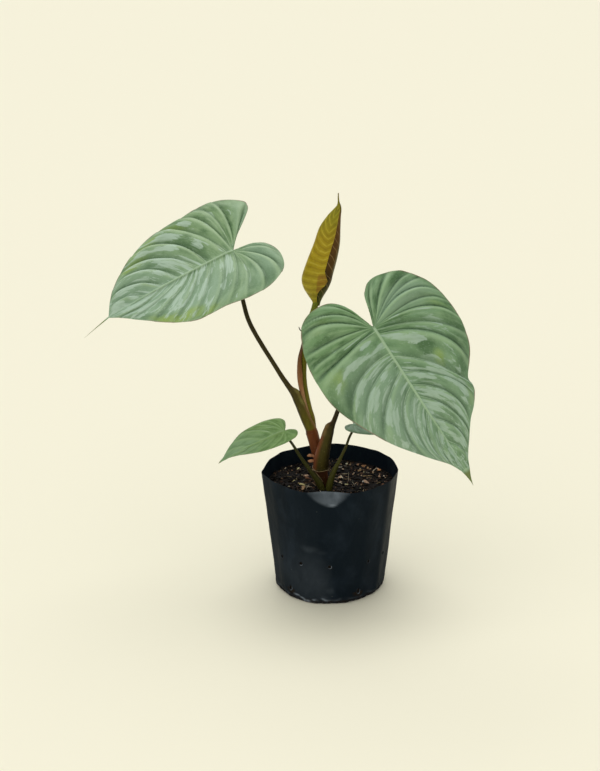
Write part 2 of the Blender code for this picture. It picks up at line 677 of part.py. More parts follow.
def main():
    """Builds the plant from the bag up."""
    clear_scene()
    make_bag()

    stem = planted(STEM_ROUTE)
    new_petiole = planted(NEW_PETIOLE_ROUTE)
    small_left = planted(to_blade(SMALL_LEFT_ROUTE, SMALL_LEAF, 5))
    small_right = planted(to_blade(SMALL_RIGHT_ROUTE, SPROUT_LEAF, 5))
    roots = [root_route(heading) for heading in ROOT_HEADINGS]
    left_foot, right_foot = small_left[:SOCKET_ROWS], small_right[:SOCKET_ROWS]
    sockets = [
        tube("stem_socket", stretched(stem[:4], ROOT_POCKET, 0), "mix", grow=CLEARANCE),
        tube("small_left_socket", stretched(left_foot, 1, 0), "mix", grow=CLEARANCE),
        tube("small_right_socket", stretched(right_foot, 1, 0), "mix", grow=CLEARANCE),
    ]
    sockets += [
        tube(f"root_channel_{i}", stretched(route, 1, 1), "mix", 2, 1, grow=CLEARANCE)
        for i, route in enumerate(roots, 1)
    ]
    make_mix(sockets)
    for i, route in enumerate(roots, 1):
        tube(f"root_{i}", route, "root", 2, 1)

    tube("main_stem", stem, "stem")
    tube("petiole_small_left", small_left, "petiole", 2)
    tube("petiole_small_right", small_right, "petiole", 2)
    tube("petiole_new", new_petiole, "petiole")
    make_cataphyll()
    left = tube("petiole_left", planted(to_blade(LEFT_PETIOLE_ROUTE, LEFT_LEAF, 9)), "petiole", 2)
    wrap = CLEARANCE * 3 + CATAPHYLL_THICKNESS
    cut(left, tube("new_petiole_cutter", stretched(new_petiole[:5], 12, 0), "mix", grow=wrap))
    right = tube("petiole_right", planted(to_blade(RIGHT_PETIOLE_ROUTE, RIGHT_LEAF, 9)), "petiole", 2)
    cut(right, tube("stem_cutter", stretched(stem, 0, 12), "mix", grow=CLEARANCE))

    for blade in BLADES:
        blade.make()
    make_rolled_leaf()
    make_grains()


main()
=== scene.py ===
"""Looks of a potted silver-leaf philodendron in a black film grow bag.

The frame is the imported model's: metres, +Z up, the middle of the bag's base at the origin and the
plant facing -Y. Sizes inside the classes are in millimetres, and heights on the plant are
measured up from the potting mix.
"""

import logging
import math
from contextlib import contextmanager
from dataclasses import dataclass
from enum import Enum
from typing import Iterator, Sequence

import bpy
import numpy as np
from mathutils import Euler, Matrix, Vector, noise


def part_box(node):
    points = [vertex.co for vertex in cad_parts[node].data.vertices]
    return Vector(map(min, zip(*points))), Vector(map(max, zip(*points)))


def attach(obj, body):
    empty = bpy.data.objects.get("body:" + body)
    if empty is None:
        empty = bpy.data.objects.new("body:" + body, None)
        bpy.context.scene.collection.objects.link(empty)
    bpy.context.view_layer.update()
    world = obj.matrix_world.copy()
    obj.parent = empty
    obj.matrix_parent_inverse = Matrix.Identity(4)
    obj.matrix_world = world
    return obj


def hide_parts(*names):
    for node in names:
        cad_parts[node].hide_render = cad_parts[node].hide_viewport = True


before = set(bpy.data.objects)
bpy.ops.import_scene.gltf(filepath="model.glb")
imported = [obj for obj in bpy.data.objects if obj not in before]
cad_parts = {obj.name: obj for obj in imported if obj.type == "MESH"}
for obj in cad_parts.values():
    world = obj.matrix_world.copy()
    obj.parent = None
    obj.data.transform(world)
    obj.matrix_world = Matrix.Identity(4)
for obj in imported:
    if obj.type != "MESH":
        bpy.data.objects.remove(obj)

log = logging.getLogger("philodendron")

Colour = tuple[float, float, float]
Place = tuple[float, float, float]
Row = Sequence[float]
Stop = tuple[float, str]
Thing = bpy.types.Object
Socket = bpy.types.NodeSocket

MM = 0.001
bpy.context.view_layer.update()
RIM_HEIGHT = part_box("grow_bag")[1].z / MM
HEADSPACE = 15.5
MIX_LEVEL = RIM_HEIGHT - HEADSPACE
BODY = "root"
VEINS_ON_MAP = 16.0  # vein numbers that the surface map of a blade holds


class Side(Enum):
    """A half of a leaf blade, seen from its stalk towards its tip."""

    LEFT = 1
    RIGHT = -1


class Grain(Enum):
    """What a loose bit of the potting mix is made of."""

    CRUMB = "mix"
    BARK = "bark"
    PERLITE = "perlite"


# ---------------------------------------------------------------- modelling helpers


def linear(code: str) -> Colour:
    """A linear colour from a hexadecimal one such as "7a9a6e"."""
    parts = [int(code[i : i + 2], 16) / 255 for i in (0, 2, 4)]
    return tuple(p / 12.92 if p <= 0.04045 else ((p + 0.055) / 1.055) ** 2.4 for p in parts)


def pigment(code: str) -> np.ndarray:
    """The same colour as an array."""
    return np.array(linear(code))


def deselect() -> None:
    """Leaves nothing selected."""
    if bpy.context.mode != "OBJECT":
        bpy.ops.object.mode_set(mode="OBJECT")
    bpy.ops.object.select_all(action="DESELECT")


def take(*things: Thing) -> None:
    """Selects these objects alone and makes the first one active.

    Args:
        things: the objects.
    """
    deselect()
    for thing in things:
        thing.select_set(True)
    bpy.context.view_layer.objects.active = things[0]


@contextmanager
def editing(thing: Thing) -> Iterator[None]:
    """Opens an object in edit mode with all of it selected.

    Args:
        thing: the mesh object.

    Returns:
        Nothing to hold: edit mode lasts as long as the block.
    """
    take(thing)
    bpy.ops.object.mode_set(mode="EDIT")
    bpy.ops.mesh.select_all(action="SELECT")
    yield
    bpy.ops.object.mode_set(mode="OBJECT")


def points_of(thing: Thing) -> np.ndarray:
    """The vertices of a mesh object.

    Args:
        thing: the mesh object.

    Returns:
        Rows (x, y, z), in metres.
    """
    found = np.empty(len(thing.data.vertices) * 3)
    thing.data.vertices.foreach_get("co", found)
    return found.reshape(-1, 3)


def rows_of(*columns: np.ndarray) -> np.ndarray:
    """Rows whose parts are these columns."""
    return np.stack(columns, axis=1)


def lay(thing: Thing, points: np.ndarray) -> None:
    """Puts the vertices of a mesh object at these places, in mm."""
    thing.data.vertices.foreach_set("co", (points * MM).astype(np.float32).ravel())
    thing.data.update()


def merge_doubles(thing: Thing, distance: float = 1e-6) -> None:
    """Joins points that lie on each other and turns the faces outwards.

    Args:
        thing: the mesh object.
        distance: how near two such points are, in metres.
    """
    with editing(thing):
        bpy.ops.mesh.remove_doubles(threshold=distance)
        bpy.ops.mesh.dissolve_degenerate(threshold=distance)
        bpy.ops.mesh.select_all(action="SELECT")
        bpy.ops.mesh.normals_make_consistent(inside=False)


def modify(thing: Thing, kind: str, **settings: object) -> None:
    """Adds a modifier with its settings and applies it.

    Args:
        thing: the mesh object.
        kind: Blender's name of the modifier type.
        settings: the modifier's properties.
    """
    take(thing)
    modifier = thing.modifiers.new(kind.lower(), kind)
    for name, value in settings.items():
        setattr(modifier, name, value)
    bpy.ops.object.modifier_apply(modifier=modifier.name)


def shade(thing: Thing, degrees: float = 60.0) -> None:
    """Shades an object smooth, with edges kept where it turns by more than an angle."""
    take(thing)
    bpy.ops.object.shade_smooth_by_angle(angle=math.radians(degrees))


def join(pieces: Sequence[Thing], name: str) -> Thing:
    """Joins pieces into one.

    Args:
        pieces: the mesh objects.
        name: the name of the whole.

    Returns:
        The whole.
    """
    take(*pieces)
    bpy.ops.object.join()
    whole = bpy.context.active_object
    whole.name = whole.data.name = name
    return whole


def paint(thing: Thing, name: str, values: np.ndarray) -> None:
    """Stores one number for each vertex under a name."""
    layer = thing.data.attributes.new(name, "FLOAT", "POINT")
    layer.data.foreach_set("value", values.astype(np.float32).ravel())


def tint(thing: Thing, colours: np.ndarray) -> None:
    """Stores one colour for each vertex, as the attribute "tint".

    Args:
        thing: the mesh object.
        colours: linear colours, one row for each vertex.
    """
    layer = thing.data.attributes.new("tint", "FLOAT_COLOR", "POINT")
    whole = np.hstack([colours, np.ones((len(colours), 1))])
    layer.data.foreach_set("color", whole.astype(np.float32).ravel())


def corners_of(thing: Thing) -> np.ndarray:
    """The corners of a mesh object's faces.

    Args:
        thing: the mesh object.

    Returns:
        The vertex at each corner of each face, in order.
    """
    corners = np.empty(len(thing.data.loops), np.int32)
    thing.data.loops.foreach_get("vertex_index", corners)
    return corners


def map_surface(thing: Thing, name: str, places: np.ndarray) -> None:
    """Stores a UV map.

    Args:
        thing: the mesh object.
        name: the map's name.
        places: one (u, v) for each vertex, or for each corner of each face.
    """
    layer = thing.data.uv_layers.get(name) or thing.data.uv_layers.new(name=name)
    if len(places) == len(thing.data.vertices):
        places = places[corners_of(thing)]
    layer.data.foreach_set("uv", places.astype(np.float32).ravel())


def clear_maps(thing: Thing) -> None:
    """Removes the UV maps that a primitive comes with."""
    for layer in list(thing.data.uv_layers):
        thing.data.uv_layers.remove(layer)


def flat_sheet(name: str, columns: int, rows: int) -> tuple[Thing, np.ndarray]:
    """A grid to be laid out as a surface.

    Args:
        name: the piece's name.
        columns: faces across.
        rows: faces along.

    Returns:
        The object, and for each vertex its share (0 to 1) across and along.
    """
    deselect()
    bpy.ops.mesh.primitive_grid_add(x_subdivisions=columns, y_subdivisions=rows, size=1)
    sheet = bpy.context.active_object
    sheet.name = sheet.data.name = name
    clear_maps(sheet)
    return sheet, points_of(sheet)[:, :2] + 0.5


def sleeve(name: str, sides: int, rings: int) -> tuple[Thing, np.ndarray, np.ndarray]:
    """An open cylinder cut into rings, to be laid out along a route or a profile.

    Args:
        name: the piece's name.
        sides: points round it.
        rings: faces along it.

    Returns:
        The object, and for each vertex its angle round (radians) and the ring it is on.
    """
    deselect()
    bpy.ops.mesh.primitive_cylinder_add(vertices=sides, radius=1, depth=1, end_fill_type="NOTHING")
    tube = bpy.context.active_object
    tube.name = tube.data.name = name
    clear_maps(tube)
    take(tube)
    bpy.context.tool_settings.mesh_select_mode = (False, True, False)
    ends = [[tube.data.vertices[i].co.z for i in edge.vertices] for edge in tube.data.edges]
    bpy.ops.object.mode_set(mode="EDIT")
    bpy.ops.mesh.select_all(action="DESELECT")
    bpy.ops.object.mode_set(mode="OBJECT")
    tube.data.edges.foreach_set("select", [abs(start - end) > 0.5 for start, end in ends])
    bpy.ops.object.mode_set(mode="EDIT")
    bpy.ops.mesh.subdivide(number_cuts=rings - 1)
    bpy.context.tool_settings.mesh_select_mode = (True, False, False)
    bpy.ops.object.mode_set(mode="OBJECT")
    found = points_of(tube)
    ring = np.rint((found[:, 2] + 0.5) * rings).astype(int)
    return tube, np.arctan2(found[:, 1], found[:, 0]), ring


def spline(rows: Sequence[Row], per_span: int) -> np.ndarray:
    """Reads a smooth curve that goes through rows.

    Args:
        rows: the rows that it goes through.
        per_span: how many rows are read for each given one.

    Returns:
        The rows read from it, up to the last given one.
    """
    rows = np.array(rows, float)
    ends = np.vstack([2 * rows[0] - rows[1], rows, 2 * rows[-1] - rows[-2]])
    u = (np.arange(per_span) / per_span)[:, None]
    spans = [
        0.5 * (
            2 * b + (c - a) * u + (2 * a - 5 * b + 4 * c - d) * u**2
            + (3 * b - a - 3 * c + d) * u**3
        )
        for a, b, c, d in zip(ends, ends[1:], ends[2:], ends[3:])
    ]
    return np.vstack([*spans, rows[-1:]])


def ease(low: float, high: float, values: np.ndarray) -> np.ndarray:
    """A smooth step from 0 at low to 1 at high."""
    share = np.clip((values - low) / (high - low), 0, 1)
    return share * share * (3 - 2 * share)


def near(away: np.ndarray, reach: float) -> np.ndarray:
    """How near places are to a middle: 1 there, and little past the reach."""
    return np.exp(-((away / reach) ** 2))


def ripple(points: np.ndarray, size: float, seed: float = 0.0) -> np.ndarray:
    """Smooth noise from -1 to 1 at points in mm, with features of this size in mm."""
    shift = Vector((seed, seed * 1.7, -seed))
    return np.array([noise.noise(Vector(p) / size + shift) for p in points])


def planted(rows: Sequence[Row]) -> list[tuple[float, ...]]:
    """Rows measured up from the mix, in the model's own frame."""
    return [(x, y, z + MIX_LEVEL, *rest) for x, y, z, *rest in rows]


def across_stops(shares: np.ndarray, stops: Sequence[Stop]) -> np.ndarray:
    """Reads colours from a row of stops.

    Args:
        shares: where to read.
        stops: (share, colour) in rising order.

    Returns:
        A linear colour for each share.
    """
    places = [share for share, _ in stops]
    codes = np.array([linear(code) for _, code in stops])
    return rows_of(*(np.interp(shares, places, codes[:, k]) for k in range(3)))


def show(piece: Thing, slot: str, *nodes: str) -> Thing:
    """Hands a finished piece over: it rides on the plant's one body.

    Args:
        piece: the finished object.
        slot: the record's material slot; it is not used.
        nodes: the CAD nodes that it stands for.

    Returns:
        The piece.
    """
    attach(piece, BODY)
    if nodes:
        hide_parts(*nodes)
    log.info("%s: %d faces", piece.name, len(piece.data.polygons))
    return piece


# ---------------------------------------------------------------- node graphs


class Signal:
    """What a node puts out, where sums and products with it add more nodes."""

    def __init__(self, graph: "Graph", socket: Socket) -> None:
        """Holds a socket of a graph."""
        self.graph, self.socket = graph, socket

    def __add__(self, other: "Value") -> "Signal":
        """The sum of two numbers."""
        return self.graph.math("ADD", self, other)

    def __sub__(self, other: "Value") -> "Signal":
        """The difference of two numbers."""
        return self.graph.math("SUBTRACT", self, other)

    def __mul__(self, other: "Value") -> "Signal":
        """The product of two numbers."""
        return self.graph.math("MULTIPLY", self, other)

    def __abs__(self) -> "Signal":
        """The number without its sign."""
        return self.graph.math("ABSOLUTE", self)

    def fraction(self) -> "Signal":
        """What is left of the number above a whole one."""
        return self.graph.math("FRACT", self)

    def stretched(self, x: float, y: float, z: float = 1.0) -> "Signal":
        """The vector scaled by a factor for each axis."""
        inputs = {0: self, 1: (x, y, z)}
        return self.graph.node("ShaderNodeVectorMath", inputs, operation="MULTIPLY")[0]

    def step(self, low: float, high: float, start: float = 0.0, end: float = 1.0) -> "Signal":
        """A smooth step in the number, which may fall as well as rise.

        Args:
            low: where it starts.
            high: where it ends, which may be below low.
            start: its value before low.
            end: its value past high.

        Returns:
            The stepped number.
        """
        if low > high:
            low, high, start, end = high, low, end, start
        inputs = {0: self, 1: low, 2: high, 3: start, 4: end}
        return self.graph.node("ShaderNodeMapRange", inputs, interpolation_type="SMOOTHSTEP")[0]


Value = float | Colour | Signal


class Graph:
    """A material's or a group's nodes, added one at a time."""

    def __init__(self, tree: bpy.types.NodeTree) -> None:
        """Works on this node tree."""
        self.tree = tree

    def node(self, kind: str, inputs: dict | None = None, **settings: object) -> list[Signal]:
        """Adds a node.

        Args:
            kind: the node's type.
            inputs: values or signals by input name or number.
            settings: the node's properties.

        Returns:
            What the node puts out.
        """
        made = self.tree.nodes.new(kind)
        for name, value in settings.items():
            setattr(made, name, value)
        for name, value in (inputs or {}).items():
            if isinstance(value, Signal):
                self.tree.links.new(value.socket, made.inputs[name])
            else:
                made.inputs[name].default_value = value
        return [Signal(self, socket) for socket in made.outputs]

    def feed(self, node: bpy.types.Node, **signals: Signal) -> None:
        """Links signals into a node's inputs, by name with underscores for spaces."""
        for label, signal in signals.items():
            self.tree.links.new(signal.socket, node.inputs[label.replace("_", " ")])

    def math(self, operation: str, a: Value, b: Value = 0.0) -> Signal:
        """One sum on two numbers."""
        return self.node("ShaderNodeMath", {0: a, 1: b}, operation=operation)[0]

    def noise(self, vector: Signal, scale: Value, detail: float = 3.0, rough: float = 0.5,
              distortion: float = 0.0) -> Signal:
        """Smooth noise, mostly from 0.2 to 0.8.

        Args:
            vector: where it is read.
            scale: its features for each unit of the vector.
            detail: how many finer layers it has.
            rough: how strong each finer layer is.
            distortion: how far it is warped.

        Returns:
            The noise.
        """
        inputs = {"Vector": vector, "Scale": scale, "Detail": detail, "Roughness": rough,
                  "Distortion": distortion}
        return self.node("ShaderNodeTexNoise", inputs)[0]

    def cells(self, vector: Signal, scale: float, feature: str = "F1") -> Signal:
        """Distance to cell middles, or to cell edges."""
        inputs = {"Vector": vector, "Scale": scale}
        return self.node("ShaderNodeTexVoronoi", inputs, feature=feature)[0]

    def mix(self, share: Value, a: Value, b: Value, blend: str = "MIX") -> Signal:
        """Mixes two colours.

        Args:
            share: how much of the second one.
            a: the first colour.
            b: the second colour.
            blend: Blender's name of the way to mix.

        Returns:
            The mixed colour.
        """
        colours = [(*c, 1.0) if isinstance(c, tuple) else c for c in (a, b)]
        inputs = {0: share, 6: colours[0], 7: colours[1]}
        return self.node("ShaderNodeMix", inputs, data_type="RGBA", blend_type=blend)[2]

    def attribute(self, name: str) -> Signal:
        """A number stored on the mesh."""
        return self.node("ShaderNodeAttribute", attribute_name=name)[2]

    def tint(self) -> Signal:
        """The colour stored on the mesh."""
        return self.node("ShaderNodeAttribute", attribute_name="tint")[0]

    def place(self) -> Signal:
        """Object coordinates."""
        return self.node("ShaderNodeTexCoord")[3]

    def mapped(self, name: str) -> list[Signal]:
        """The two numbers of a place on a surface map."""
        return self.parts(self.node("ShaderNodeUVMap", uv_map=name)[0])[:2]

    def parts(self, vector: Signal) -> list[Signal]:
        """The three numbers of a vector."""
        return self.node("ShaderNodeSeparateXYZ", {0: vector})

    def joined(self, x: Value, y: Value, z: Value = 0.0) -> Signal:
        """A vector from three numbers."""
        return self.node("ShaderNodeCombineXYZ", {0: x, 1: y, 2: z})[0]

    def bump(self, height: Signal, strength: float, distance: float) -> Signal:
        """A normal bent by a height, whose full range is distance in mm."""
        inputs = {"Height": height, "Strength": strength, "Distance": distance * MM}
        return self.node("ShaderNodeBump", inputs)[0]

    def group(self, tree: bpy.types.NodeTree, **inputs: Value) -> list[Signal]:
        """Places a node group.

        Args:
            tree: the group.
            inputs: values or signals by input name, with underscores for spaces.

        Returns:
            What the group puts out.
        """
        made = self.tree.nodes.new("ShaderNodeGroup")
        made.node_tree = tree
        for name, value in inputs.items():
            if isinstance(value, Signal):
                self.feed(made, **{name: value})
            else:
                value = (*value, 1.0) if isinstance(value, tuple) else value
                made.inputs[name.replace("_", " ")].default_value = value
        return [Signal(self, socket) for socket in made.outputs]


def new_group(name: str, inputs: dict[str, str], outputs: dict[str, str]) -> tuple:
    """An empty shader node group.

    Args:
        name: the group's name.
        inputs: socket kinds (Float, Color, Vector) by name.
        outputs: the same for what it puts out.

    Returns:
        The group's Graph, its inputs as signals by name, and its output node.
    """
    tree = bpy.data.node_groups.new(name, "ShaderNodeTree")
    for sockets, way in ((inputs, "INPUT"), (outputs, "OUTPUT")):
        for label, kind in sockets.items():
            tree.interface.new_socket(label, in_out=way, socket_type=f"NodeSocket{kind}")
    graph = Graph(tree)
    given = {signal.socket.name: signal for signal in graph.node("NodeGroupInput")}
    return graph, given, tree.nodes.new("NodeGroupOutput")


def new_material(name: str, **values: float) -> tuple[bpy.types.Material, Graph, bpy.types.Node]:
    """A Principled material.

    Args:
        name: its name.
        values: plain values for the shader's own sockets, by name with underscores.

    Returns:
        The material, its Graph and its Principled node.
    """
    material = bpy.data.materials.new(name)
    material.use_nodes = True
    shader = material.node_tree.nodes["Principled BSDF"]
    for label, value in values.items():
        shader.inputs[label.replace("_", " ")].default_value = value
    return material, Graph(material.node_tree), shader


class SharedEffects:
    """Node groups that more than one material uses."""

    def __init__(self) -> None:
        """Builds each group once."""
        self.mottle = self._mottle()
        self.blade = self._blade()

    def mottled(self, graph: Graph, vector: Signal, colour: Value, patches: float, grains: float,
                depth: float) -> list[Signal]:
        """Places the mottle group.

        Args:
            graph: the material's nodes.
            vector: where its noise is read.
            colour: the colour that it varies.
            patches: how many soft patches it has in a metre.
            grains: the same for its fine grain.
            depth: how much darker and lighter it gets.

        Returns:
            The varied colour, and the grain's height.
        """
        return graph.group(self.mottle, Vector=vector, Color=colour, Patch_Scale=patches,
                           Grain_Scale=grains, Depth=depth)

    def _mottle(self) -> bpy.types.NodeTree:
        """Makes a group of soft patches and fine grain that vary a colour.

        Returns:
            The group, which puts out the colour and the grain's height.
        """
        inputs = {"Vector": "Vector", "Color": "Color", "Patch Scale": "Float",
                  "Grain Scale": "Float", "Depth": "Float"}
        graph, given, out = new_group("mottle", inputs, {"Color": "Color", "Height": "Float"})
        patches = graph.noise(given["Vector"], given["Patch Scale"], 4, 0.6)
        grains = graph.noise(given["Vector"], given["Grain Scale"], 3, 0.6)
        swing = (patches * 0.65 + grains * 0.35 - 0.5) * given["Depth"]
        factor = swing * 2.0 + 1.0
        toned = graph.mix(1.0, given["Color"], graph.joined(factor, factor, factor), "MULTIPLY")
        graph.feed(out, Color=toned, Height=grains)
        return graph.tree

    def _blade(self) -> bpy.types.NodeTree:
        """Makes a group with the tones of a leaf blade, laid out along its veins.

        The surface map "blade" holds the vein number and the share out from the midrib. The
        mesh's "furrow_shade" is painted shade in and before the furrows, partly the darker green
        of real veins, and "crest" a painted highlight on the folds' crests; "rib" says how near
        a place is to the midrib, and "bloom" how much silvery bloom it has.

        Returns:
            The group, which puts out a colour, a roughness and a height.
        """
        # Deep is the colour of the painted shade in the furrows.
        inputs = {name: "Color" for name in ("Deep", "Dark", "Middle", "Light", "Silver", "Olive",
                                             "Bloom", "Rib", "Rim", "Tip")}
        inputs["Fleck Share"] = "Float"
        outputs = {"Color": "Color", "Roughness": "Float", "Height": "Float"}
        graph, given, out = new_group("blade tones", inputs, outputs)
        veins, side = graph.mapped("blade")
        number = veins * VEINS_ON_MAP
        signed = (side - 0.5) * 2.0
        outward = abs(signed)
        along = graph.joined(number, signed * 4.0)

        tones = graph.noise(along.stretched(1.1, 0.7), 1.0, 5, 0.6, 0.3)
        colour = graph.mix(tones.step(0.36, 0.6), given["Dark"], given["Middle"])
        pale = graph.noise(along.stretched(2.6, 0.8), 1.0, 4, 0.55)
        colour = graph.mix(pale.step(0.42, 0.72) * 0.55, colour, given["Light"])
        bloom = tones - 0.5 + graph.attribute("bloom")
        colour = graph.mix(bloom.step(0.1, 1.1, 0.0, 0.8), colour, given["Bloom"])
        colour = graph.mix(bloom.step(-0.1, -0.9, 0.0, 0.6), colour, given["Dark"])

        olive = graph.noise(along.stretched(2.0, 1.2), 1.0, 4, 0.6) * 0.8
        olive = olive + graph.attribute("olive")
        colour = graph.mix(olive.step(0.5, 1.25) * 0.85, colour, given["Olive"])
        # Painted highlight: the folds' crests are mixed toward the Light colour.
        colour = graph.mix(graph.attribute("crest") * 0.7, colour, given["Light"])
        # Painted shade in and before each furrow, mixed toward the Deep colour; partly the darker
        # green of real veins.
        furrow_shade = graph.attribute("furrow_shade") * 0.72
        colour = graph.mix(furrow_shade, colour, given["Deep"])

        ragged = graph.noise(along.stretched(2.6, 0.65), 1.0, 6, 0.62, 0.5)
        brush = graph.noise(along.stretched(9, 1.3), 1.0, 3, 0.5)
        silver = (graph.attribute("silver") * 0.42 + ragged + brush * 0.2).step(0.775, 0.855)
        silver_and_glint = silver * brush.step(0.3, 0.6, 0.5, 0.9) * furrow_shade.step(0.05, 0.5, 1.0, 0.15)
        colour = graph.mix(silver_and_glint, colour, given["Silver"])
        flecks = graph.noise(along.stretched(22, 9), 1.0, 2, 0.5).step(0.6, 0.68)
        colour = graph.mix(flecks * given["Fleck Share"], colour, given["Silver"])

        furrow = abs(number.fraction() - 0.5)
        thread = furrow.step(0.462, 0.495, 0.0, 0.75) * outward.step(0.9, 0.1)
        colour = graph.mix(thread, colour, given["Rib"])
        colour = graph.mix(graph.attribute("rib") * 0.9, colour, given["Rib"])
        colour = graph.mix(graph.attribute("tip") * 0.9, colour, given["Tip"])
        blush = graph.noise(along.stretched(0.7, 0.2), 1.0, 2).step(0.42, 0.6)
        colour = graph.mix(outward.step(0.978, 0.992) * blush * 0.75, colour, given["Rim"])

        net = graph.cells(along.stretched(6, 3.2), 1.0, "DISTANCE_TO_EDGE").step(0.0, 0.16)
        pores = graph.noise(graph.place(), 1500, 2, 0.5)
        graph.feed(out, Color=colour, Height=net * 0.5 + pores * 0.2,
                   Roughness=tones * 0.16 + silver * 0.06 + 0.38)
        return graph.tree


# ---------------------------------------------------------------- finishes


@dataclass(frozen=True)
class LeafFinish:
    """A leathery blade: green tones along the veins, sharp silver patches and a thin rim."""

    # deep: the colour of the painted shade in the furrows
    deep: str = "3d6034"
    dark: str = "547848"
    middle: str = "7e9e6c"
    light: str = "a0bc8e"
    silver: str = "b0c8b3"
    olive: str = "8fac4e"
    bloom: str = "8aa88c"
    rib: str = "a2be98"
    rim: str = "8a6f5e"
    tip: str = "6d7838"
    under: str = "86a07a"
    flecks: float = 0.25
    bump: float = 0.3

    def upper(self, name: str, effects: SharedEffects) -> bpy.types.Material:
        """The material of the upper face.

        Args:
            name: its name.
            effects: the shared node groups.

        Returns:
            The material.
        """
        material, graph, shader = new_material(name, Specular_IOR_Level=0.4, Coat_Weight=0.05)
        names = ("deep", "dark", "middle", "light", "silver", "olive", "bloom", "rib", "rim", "tip")
        colours = {name.capitalize(): linear(getattr(self, name)) for name in names}
        colour, rough, height = graph.group(effects.blade, Fleck_Share=self.flecks, **colours)
        graph.feed(shader, Base_Color=colour, Roughness=rough,
                   Normal=graph.bump(height, self.bump, 0.35))
        return material

    def underside(self, name: str, effects: SharedEffects) -> bpy.types.Material:
        """The paler, duller material of the lower face, with its raised veins.

        Args:
            name: its name.
            effects: the shared node groups.

        Returns:
            The material.
        """
        material, graph, shader = new_material(name, Roughness=0.6, Specular_IOR_Level=0.3)
        tones, grain = effects.mottled(graph, graph.place(), linear(self.under), 90, 900, 0.6)
        number = graph.mapped("blade")[0] * VEINS_ON_MAP
        veins = abs(number.fraction() - 0.5).step(0.43, 0.49, 0.0, 0.7)
        raised = graph.math("MAXIMUM", veins, graph.attribute("rib"))
        colour = graph.mix(raised * 0.8, tones, linear(self.rib))
        graph.feed(shader, Base_Color=colour, Normal=graph.bump(raised + grain * 0.3, 0.3, 0.4))
        return material


@dataclass(frozen=True)
class StalkFinish:
    """Smooth living stem: its own tints, fine streaks along it and small pale dots."""

    roughness: float = 0.46
    streaks: float = 0.5
    dots: float = 0.25
    dot_colour: str = "b9ab74"

    def material(self, name: str, effects: SharedEffects) -> bpy.types.Material:
        """The material, which reads the mesh's tint.

        Args:
            name: its name.
            effects: the shared node groups.

        Returns:
            The material.
        """
        material, graph, shader = new_material(name, Roughness=self.roughness,
                                               Specular_IOR_Level=0.12)
        spot = graph.place()
        tones, grain = effects.mottled(graph, spot.stretched(1, 1, 0.18), graph.tint(), 420, 2200,
                                       self.streaks)
        dots = graph.cells(spot.stretched(1, 1, 0.45), 520).step(0.16, 0.06) * self.dots
        colour = graph.mix(dots, tones, linear(self.dot_colour))
        graph.feed(shader, Base_Color=colour, Normal=graph.bump(grain, 0.3, 0.15))
        return material


@dataclass(frozen=True)
class NewLeafFinish:
    """The rolled leaf: bright ribs on its yellow outer turn, pale veins on its brown inner one."""

    outer: str = "7a6414"
    crest: str = "b8a634"
    vein: str = "a88a5c"
    ribs: float = 16.0
    veins: float = 12.0
    vein_slope: float = -18.0

    def material(self, name: str, effects: SharedEffects) -> bpy.types.Material:
        """The material, which reads the mesh's tint and its surface map "roll".

        Args:
            name: its name.
            effects: the shared node groups.

        Returns:
            The material.
        """
        material, graph, shader = new_material(name, Specular_IOR_Level=0.12)
        turn, height = graph.mapped("roll")
        tones, grain = effects.mottled(graph, graph.place(), graph.tint(), 150, 1300, 0.55)
        bend = abs(turn - 0.2)
        slope = height.step(0.2, 0.75, 1.5, 20.0)
        waver = graph.noise(graph.place(), 70, 2, 0.5)
        wave = height * self.ribs - bend * slope + waver * 0.7
        wave = abs(wave.fraction() - 0.5) * 2.0
        within = turn.step(0.37, 0.32)
        lines = wave.step(0.62, 0.98) * within
        faint = graph.noise(graph.place(), 120, 2, 0.5).step(0.35, 0.62, 0.25, 0.95)
        colour = graph.mix(lines * faint, tones, linear(self.crest))
        colour = graph.mix(wave.step(0.45, 0.0) * within * 0.4, colour, linear(self.outer))
        veins = height * self.veins + turn * self.vein_slope + waver * 0.8
        veins = abs(veins.fraction() - 0.5).step(0.44, 0.49) * turn.step(0.5, 0.55)
        colour = graph.mix(veins * 0.55, colour, linear(self.vein))
        graph.feed(shader, Base_Color=colour, Roughness=grain.step(0.3, 0.7, 0.32, 0.45),
                   Normal=graph.bump(lines * 0.8 + grain * 0.3, 0.5, 0.5))
        return material


